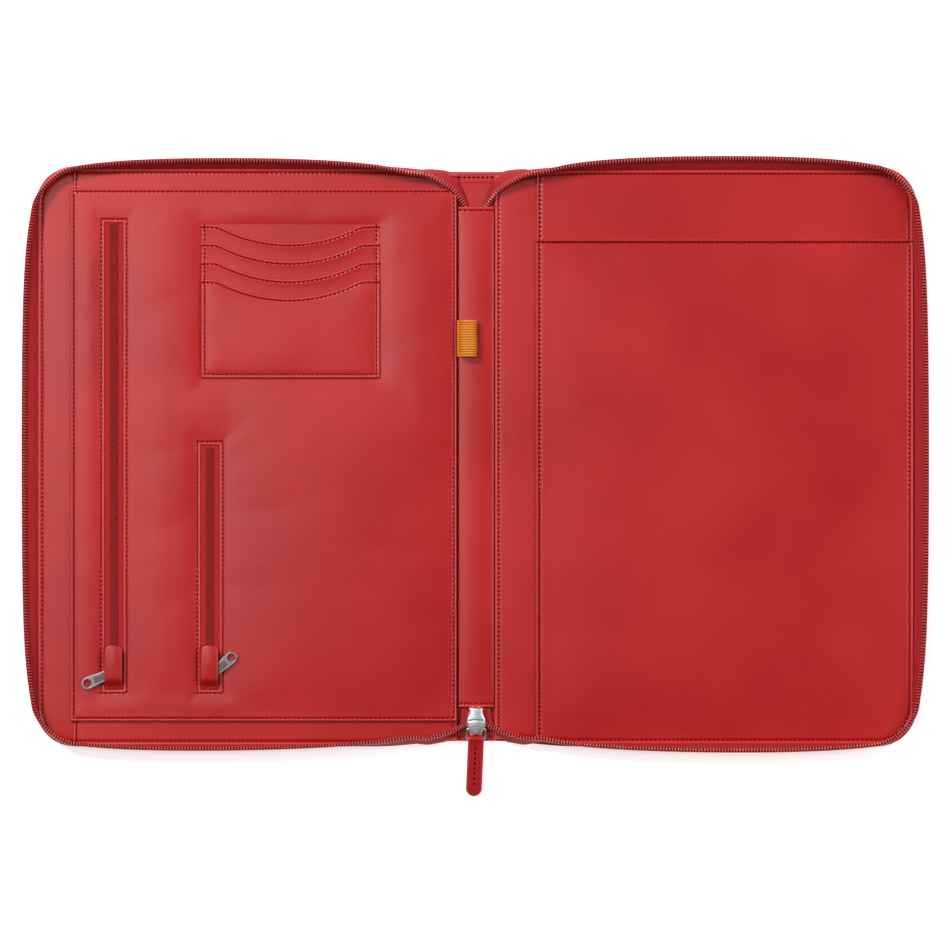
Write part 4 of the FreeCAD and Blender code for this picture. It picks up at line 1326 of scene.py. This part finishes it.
def small_zip(name, tooth):
    """Tape and closed coil in one window of the organiser."""
    left_low, left_high = limits(name + "_zip_left_tape")
    right_low, right_high = limits(name + "_zip_right_tape")
    middle = (left_high.x + right_low.x) / 2
    x, y = np.meshgrid(np.linspace(left_low.x, right_high.x, 25), np.linspace(left_low.y, left_high.y, 60),
                       indexing="ij")
    z = left_high.z + 0.12 * np.exp(-((np.abs(x - middle) - 3.0) / 0.5) ** 2)
    cloth = np.tile(np.stack([y, x], -1).reshape(-1, 2), (2, 1))
    tape = sheet_from_grid(name + "_window_tape", x, y, z, left_low.z, TAPE, uv=cloth)
    declare(tape, "zip_tape", "left_cover", name + "_zip_left_tape", name + "_zip_right_tape")
    coil_low, coil_high = limits(name + "_zip_left_coil")
    middle_z = (coil_low.z + coil_high.z) / 2 - 0.05
    rows = []
    for sign, start in ((-1, 0.0), (1, SMALL_TOOTH_PITCH / 2)):
        path = [(middle + sign * 1.05, coil_low.y - 3.2 + start + step * 4.0, middle_z)
                for step in range(int((coil_high.y - coil_low.y + 3.0) / 4.0) + 1)]
        across = np.broadcast_to(np.array([1.0, 0, 0]), (len(path), 3))
        inputs = {"Pitch": SMALL_TOOTH_PITCH * MM, "Tooth": tooth, "Nylon": WINDOW_COIL}
        rows.append(grown("%s_row_%d" % (name, sign + 1), [(path, False)], TEETH, inputs, across))
    teeth = joined(name + "_window_teeth", rows)
    declare(teeth, "zip_coil", "left_cover", name + "_zip_left_coil", name + "_zip_right_coil")


def flap(name):
    """Leather flap over a small slider: tucked in at its foot, bent up and over, round at its end."""
    low, high = limits(name + "_flap")
    middle = (low.x + high.x) / 2
    half = (high.x - low.x) / 2
    bend = low.y + 6.5
    along = np.concatenate([np.linspace(0, 0.3, 14), np.linspace(0.34, 0.8, 12), np.linspace(0.83, 1, 14)])
    share, side = np.meshgrid(along, np.linspace(-1, 1, 21), indexing="ij")
    y = low.y + share * (high.y - low.y)
    end = np.clip((y - (high.y - half * 0.92)) / (half * 0.92), 0, 1)
    width = np.maximum(half * (1 - end ** 2.6) ** (1 / 2.6), 0.4)
    edge = (1 - np.abs(side)) * width
    round_off = 0.35 * (1 - fold_rise(edge, 0.7))
    rise = np.clip((y - low.y) / (bend - low.y), 0, 1)
    crown = 0.35 * np.sin(np.clip((y - bend) / (high.y - bend), 0, 1) * math.pi)
    z = low.z + LEATHER + (high.z - low.z - 1.0) * rise * rise * (3 - 2 * rise) + crown
    z += -0.45 * side ** 2 - round_off
    under = np.minimum(z - LEATHER + 2 * round_off, z - 0.1)
    # Paler round the flap's edge: partly wear, partly a painted highlight on its rounded edge.
    piece = sheet_from_grid(name + "_leather_flap", middle + side * width, y, z, under, LINING,
                            {"wear": 0.7 * np.exp(-edge / 0.7)}, both=True)
    declare(piece, "lining_leather", None, name + "_flap")
    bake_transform(piece)


# ---- spine -----------------------------------------------------------------------------------
def spine_strip():
    """Padded leather strip down the spine, folded and stitched at its ends."""
    low, high = limits("spine_inner_strip")
    low.x, high.x = low.x - 0.2, high.x + 0.3
    x_lines = grid_lines(low.x, high.x, 1.2, [low.x, high.x], 1.0)
    y_lines = grid_lines(low.y, high.y, 5.0, [low.y, high.y])

    def top(x, y, *_):
        end = np.minimum(y - low.y, high.y - y)
        relief = Relief(x, y, high.z - 0.35)
        crown = np.sqrt(np.clip(1 - (x / (high.x + 0.3)) ** 2, 0, 1))
        relief.z += 1.25 * crown * np.clip(0.55 + end / 40, 0, 1)
        relief.fold(end, x, 0.6, 0.25, STITCH_IN + 0.2)
        relief.z += ripple(x, y * 0.4, 51, 40.0, 0.12) * np.clip(end / 20, 0, 1)
        return relief

    piece = panel("spine_strip_leather", x_lines, y_lines, low.z + 0.1, top, LINING)
    declare(piece, "lining_leather", "spine", "spine_inner_strip")
    seams = [(seam_line((low.x + 1.2, y), (high.x - 1.2, y), high.z, 12), False)
             for y in (low.y + STITCH_IN + 0.2, high.y - STITCH_IN - 0.2)]
    seat_and_ride("spine_strip_seams", seams, [piece], "spine")


def shell_seams():
    """Seam rows that show on the shell: round the outside face, and across the spine's inner ends."""
    for side, sign in (("right", 1), ("left", -1)):
        x_low, x_high = cover_range(sign, 0.0, REACH)
        corners = rounded_path((x_low, -HALF), (x_high, HALF), mirrored_corners(COVER_CORNERS, sign), 0.1,
                               RIM_SEAM)
        points = np.array([point for point in subdivided(corners) + corners[-1:] if abs(point[0]) > 2.7])
        points = points[np.argsort(np.arctan2(points[:, 1], points[:, 0] * sign - 1.0))]
        points[:, 0], points[:, 1] = drawn_in(points[:, 0], points[:, 1])
        row = stitched(side + "_shell_seam", [(points, False)], height=0.24)
        declare(row, "outer_leather", None)
        over_fold(row, sign, *SHELL_FOLD)
    y = SPINE_HALF - 3.4
    row = stitched("spine_end_seam", [(seam_line((-9.6, y), (9.6, y), SHELL_TOP + 0.02, 8), False)])
    declare(row, "outer_leather", "spine")


def pen_loop():
    """Ribbed elastic loop and the tongue by which it is sewn in."""
    low, high = limits("pen_loop")
    radius = 3.4
    inset = 0.45
    x0, x1, z0, z1 = low.x + 1.0 + inset, high.x - inset, low.z + 0.8 + inset, high.z - inset
    left, right, foot, head = x0 + radius, x1 - radius, z0 + radius, z1 - radius
    loop = (arc(right, foot, radius, -90, 90, 8) + arc(right, head, radius, 0, 90, 8)
            + arc(left, head, radius, 90, 90, 8) + arc(left, foot, radius, 180, 90, 8))
    pitch = (high.y - low.y) / RIB_COUNT
    path = [(x, low.y + pitch / 2, z) for x, z in loop]
    ribs = grown("pen_loop_ribs", [(path, True)], RIBS,
                 {"Count": RIB_COUNT, "Pitch": pitch * MM, "Radius": pitch * 0.47 * MM, "Elastic": ELASTIC})
    out = round_loop(np.array(loop))[:, ::-1] * (1, -1)
    band = [[(x + nx * offset, y, z + nz * offset) for (x, z), (nx, nz) in zip(loop, out)]
            for y, offset in ((low.y + 0.25, -0.28), (low.y + 0.25, 0.28),
                              (high.y - 0.25, 0.28), (high.y - 0.25, -0.28))]
    core = outward(mesh_piece("pen_loop_core", np.array(band).transpose(1, 0, 2).reshape(-1, 3),
                              tube_faces(len(loop), 4, looped=True), SHADED_ELASTIC_CORE))
    x, y = np.meshgrid(np.linspace(low.x - 2.6, x0 + 3.0, 9),
                       np.linspace(low.y + 0.2, high.y - 0.2, RIB_COUNT * 8 + 1), indexing="ij")
    rise = np.clip((x - low.x) / 4.0, 0, 1)
    rib = np.abs(np.sin((y - low.y) / pitch * math.pi))
    z = low.z + 0.25 + 0.4 * rise * rise + 0.35 * rib ** 0.6
    # The tongue's groove values darken its grooves with painted shade.
    tongue = outward(sheet_from_grid("pen_loop_tongue", x, y, z, low.z - 0.05, ELASTIC,
                                     {"groove": (1 - rib) ** 2}))
    piece = declare(joined("pen_loop_elastic", [core, tongue]), "elastic", "pen_loop", "pen_loop")
    declare(ribs, "elastic", "pen_loop")
    for part in (piece, ribs):
        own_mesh(part)


# ---- metalwork -------------------------------------------------------------------------------
def main_slider():
    """Polished slider: necked crown with a cross groove over the cast body."""
    low, high = limits("main_slider_body")
    cap_low, cap_high = limits("main_slider_cap")
    top_y = high.y + 1.1
    length = top_y - low.y
    neck, body = 4.35, 5.9     # half widths

    shares = np.concatenate([np.linspace(0, 0.9, 40), 1 - 0.1 * np.linspace(1, 0, 14)[1:] ** 2])
    share, side = np.meshgrid(shares, np.linspace(-1, 1, 27), indexing="ij")
    swell = np.clip((share - 0.20) / 0.27, 0, 1)
    closing = np.clip((share - 0.5) / 0.5, 0, 1)
    width = neck + (body - neck) * (swell * swell * (3 - 2 * swell))
    width = np.maximum(width * np.sqrt(np.clip(1 - closing ** 2.1, 0, 1)), 0.15)
    edge = (1 - np.abs(side)) * width
    end = np.minimum(share, 1 - share) * length
    groove = (np.exp(-((share - 0.47 - 0.03 * side ** 2) / 0.020) ** 2)
              * np.clip((0.8 - np.abs(side)) / 0.15, 0, 1))
    z = cap_high.z - 0.5 * side ** 2 - 1.1 * (1 - fold_rise(np.minimum(edge, end), 1.3)) - 0.5 * groove
    z -= 0.9 * np.clip((share - 0.52) / 0.48, 0, 1) ** 1.5
    x, y = side * width, top_y - share * length
    crown = outward(sheet_from_grid("slider_crown", x[::-1], y[::-1], z[::-1], cap_low.z - 0.1, METAL))
    declare(crown, "polished_metal", "main_slider", "main_slider_cap")


def wire_ring():
    """Rounded wire ring through the slider, a little wider at its middle."""
    bail = Vector(JOINTS["ring_swing"]["pos_m"]) / MM
    bar = Vector(JOINTS["strap_swing"]["pos_m"]) / MM
    down = (bar - bail).normalized()
    reach = (bar - bail).length
    half, near, far = 5.6, 1.4, 2.2    # half width, and the radii of the near and far corners
    loop = (arc(near - half, near, near, 180, 90, 6) + arc(half - near, near, near, 270, 90, 6)
            + arc(half - far, reach - far, far, 0, 90, 6) + arc(far - half, reach - far, far, 90, 90, 6))
    path = np.array([bail + Vector((x, 0, 0)) + down * along for x, along in loop])
    forward = round_loop(path)
    side = unit(np.cross(forward, (0, 0, 1)))
    up = np.cross(side, forward)
    points = rings_round(path, side * WIRE_RADIUS, up * WIRE_RADIUS, 12)
    piece = outward(mesh_piece("pull_ring", points, tube_faces(len(path), 12, looped=True), WIRE))
    declare(piece, "polished_metal", "main_ring", "main_pull_ring")


def leather_pull():
    """Leather pull: folded round the ring, sewn down its middle, round at its tip."""
    bar = Vector(JOINTS["strap_swing"]["pos_m"]) / MM
    half = 4.75
    tilt = math.radians(7.6)
    lean = math.radians(2.4)
    eye = 2.15                 # radius of the fold round the ring
    length = (bar.y - limits("main_leather_pull")[0].y) / math.cos(tilt) - 0.15
    turn = np.array(Matrix.Rotation(tilt, 3, "X") @ Matrix.Rotation(-lean, 3, "Z")).T

    def turned(x, s, z):
        """Points of the pull, `s` along it from the bar, tilted to lie on the table."""
        points = np.stack(np.broadcast_arrays(x, -s, z), -1) @ turn + np.array(bar)
        return np.maximum(points, (-np.inf, -np.inf, 0.08))

    along = np.concatenate([np.linspace(-eye, 6, 26), np.linspace(6.8, length - half, 26)[1:],
                            length - half * (1 - np.linspace(0, 1, 16)[1:] ** 0.7)])
    s, u = np.meshgrid(along, np.linspace(-1, 1, 25), indexing="ij")
    tip = np.clip((s - (length - half)) / half, 0, 1)
    width = np.maximum(half * np.sqrt(np.clip(1 - tip ** 2.1, 0, 1)), 0.2)
    x = u * width
    edge = np.minimum((1 - np.abs(u)) * width, 9)
    fold = np.sqrt(np.clip(eye ** 2 - s ** 2, 0, None))
    body = 1.2 + (eye - 1.2) * np.exp(-np.clip(s, 0, None) / 1.9)
    thick = np.where(s < 0, fold, body) * (1 - 0.22 * (1 - fold_rise(edge, 0.9)))
    sewn = np.clip((s - 3.6) / 2, 0, 1) * np.clip((length - 4.6 - s) / 2, 0, 1)
    dip = 0.28 * np.exp(-(x / 0.55) ** 2) * sewn
    crown = 0.12 * np.clip(1 - (np.abs(x) / half) ** 2, 0, 1)
    # Paler near the pull's edges: partly wear, partly a painted highlight on its rounded edges.
    wear = 0.75 * np.exp(-((edge - 0.5) / 0.5) ** 2)
    piece = outward(closed_sheet("leather_pull", turned(x, s, thick + crown - dip), turned(x, s, -thick),
                                 PULL_LEATHER, {"wear": wear}, both=True))
    declare(piece, "pull_leather", "main_strap", "main_leather_pull")
    path = turned(0.0, 5.4 + 21.6 * np.arange(20) / 19, 1.08)
    row = stitched("leather_pull_seam", [(path, False)], DARK_THREAD, width=1.35, height=0.5, length=0.62,
                   pitch=3.05)
    declare(row, "pull_leather", "main_strap")


def flat_plate(name, rings, thick, rounding):
    """Plate from closed outlines, the later ones its holes, with rounded edges."""
    curve = bpy.data.curves.new(name, "CURVE")
    curve.dimensions = "2D"
    curve.fill_mode = "BOTH"
    for ring in rings:
        spline = curve.splines.new("POLY")
        spline.points.add(len(ring) - 1)
        for point, (x, y) in zip(spline.points, ring):
            point.co = (x * MM, y * MM, 0, 1)
        spline.use_cyclic_u = True
    curve.extrude = thick * MM
    curve.bevel_depth = rounding * MM
    curve.bevel_resolution = 2
    curve.offset = -rounding * MM
    source = link(name, curve)
    bpy.context.view_layer.update()
    graph = bpy.context.evaluated_depsgraph_get()
    mesh = bpy.data.meshes.new_from_object(source.evaluated_get(graph), depsgraph=graph)
    bpy.data.objects.remove(source)
    return mesh


def metal_pull(name):
    """Flat metal pull with rounded edges, a waisted stem, a knurled field and a round eye."""
    pivot = Vector(JOINTS[name + "_pull_swivel"]["pos_m"]) / MM
    mount = next(item for item in frame["record"]["mounts"] if item["name"] == name + "_pull_eye")
    eye = Vector(mount["pos_m"]) / MM
    reach = (eye - pivot).length
    angle = math.atan2(eye.y - pivot.y, eye.x - pivot.x)
    eye_radius = mount["dims"]["r_mm"]
    waist = [(reach - 4.4, 3.5), (reach - 6.5, 3.2), (4.0, 2.9)]
    outline = (arc(reach, 0, 3.6, -90, 180, 24) + waist + arc(0, 0, 2.85, 60, 240, 16)
               + [(x, -y) for x, y in reversed(waist)])
    mesh = flat_plate(name + "_plate", [outline, arc(reach, 0, eye_radius, 0, 360, 32)[:-1],
                                        arc(0, 0, 1.5, 0, 360, 24)[:-1]], 0.35, 0.22)
    mesh.transform(Matrix.Translation(pivot * MM) @ Matrix.Rotation(angle, 4, "Z"))
    piece = outward(link(name + "_metal_pull", mesh, PULL_METAL_PAINTED_REFLECTION), weld=True)
    half = 1.95
    s, u = np.meshgrid(np.arange(2.9, reach - eye_radius - 1.6, 0.2), np.linspace(-half, half, 20),
                       indexing="ij")
    knurl = 0.07 * np.abs(np.sin(s * 4.6) * np.sin(u * 4.6)) * np.clip((half - np.abs(u)) / 0.3, 0, 1)
    x = s * math.cos(angle) - u * math.sin(angle) + pivot.x
    y = s * math.sin(angle) + u * math.cos(angle) + pivot.y
    field = outward(sheet_from_grid(name + "_pull_field", x, y, pivot.z + 0.57 + knurl, pivot.z + 0.5,
                                    PULL_FIELD_PAINTED_REFLECTION))
    declare(field, "polished_metal", name + "_pull")
    declare(piece, "polished_metal", name + "_pull", name + "_pull")


def carried_over():
    """Finishes of the CAD nodes that show as they are."""
    kept = {
        METAL: ["main_slider_body", "long_slider", "short_slider"],
        BOARD: ["right_board", "left_board", "spine_stiffener"],
        FOAM: ["spine_padding"],
        BAG_CLOTH: ["long_pocket_bag", "short_pocket_bag"],
    }
    for material, nodes in kept.items():
        for node in nodes:
            mesh = frame["nodes"][node].data
            mesh.materials.clear()
            mesh.materials.append(material)


# ---- table, light and camera -----------------------------------------------------------------
def table_top():
    """Plain pale table, just under the case."""
    mesh = bpy.data.meshes.new("table")
    size = 4.0
    corners = [(-size, -size, 0), (size, -size, 0), (size, size, 0), (-size, size, 0)]
    mesh.from_pydata(corners, [], [(0, 1, 2, 3)])
    finish = Finish("pale_table", Roughness=0.85, Emission_Strength=0.60, Emission_Color=(1, 1, 1, 1))
    finish.set("Base Color", finish.mix(finish.noise(3.0), (0.90, 0.90, 0.90, 1), (0.93, 0.93, 0.93, 1)))
    table = link("table", mesh, finish.material)
    table.location.z = -0.0002


def area_light(name, place, aim, size, power):
    """Rectangular softbox that faces the point `aim`."""
    light = bpy.data.lights.new(name, "AREA")
    light.shape = "RECTANGLE"
    light.size, light.size_y = size
    light.energy = power
    lamp = link(name, light)
    lamp.location = place
    lamp.rotation_euler = (Vector(aim) - Vector(place)).to_track_quat("-Z", "Y").to_euler()


def studio():
    """Key light from the upper left, a wide fill from the right, and a high light for the sheen."""
    area_light("key_light", (-1.25, 1.25, 1.95), (0.0, 0.0, 0.0), (0.75, 0.55), 43.0)
    area_light("fill_light", (1.5, 0.5, 1.6), (0.0, 0.0, 0.0), (1.6, 1.1), 20.0)
    area_light("sheen_light", (-0.8, 0.28, 2.9), (-0.1, 0.0, 0.0), (0.9, 0.8), 11.0)
    world = bpy.data.worlds.new("studio")
    bpy.context.scene.world = world
    world.use_nodes = True
    sky = world.node_tree.nodes["Background"].inputs
    sky["Color"].default_value = (1, 1, 1, 1)
    sky["Strength"].default_value = 0.10
    bpy.context.scene.view_settings.view_transform = "Standard"


def camera():
    """Looks straight down on the open case, as wide as the case with a small margin."""
    height = 2.6
    span = 0.570
    lens = bpy.data.cameras.new("camera")
    lens.sensor_width = 36.0
    lens.lens = lens.sensor_width * height / span
    eye = link("camera", lens)
    eye.location = (-0.0006, -0.0108, height)
    bpy.context.scene.camera = eye


# ---- building --------------------------------------------------------------------------------
camera()
studio()
table_top()
carried_over()
BIG_TOOTH = tooth_shape("edge_tooth", 2.6, 2.4, 0.40)
SMALL_TOOTH = tooth_shape("window_tooth", 2.3, 1.15, 0.34)
for zip_side, zip_sign in (("right", 1), ("left", -1)):
    outer_shell(zip_side, zip_sign)
    edge_zip(zip_side, zip_sign, BIG_TOOTH)
right_cover()
left_cover()
for zip_name in ("long", "short"):
    small_zip(zip_name, SMALL_TOOTH)
    flap(zip_name)
    metal_pull(zip_name)
spine_strip()
shell_seams()
pen_loop()
main_slider()
wire_ring()
leather_pull()
bpy.data.objects.remove(BIG_TOOTH)
bpy.data.objects.remove(SMALL_TOOTH)
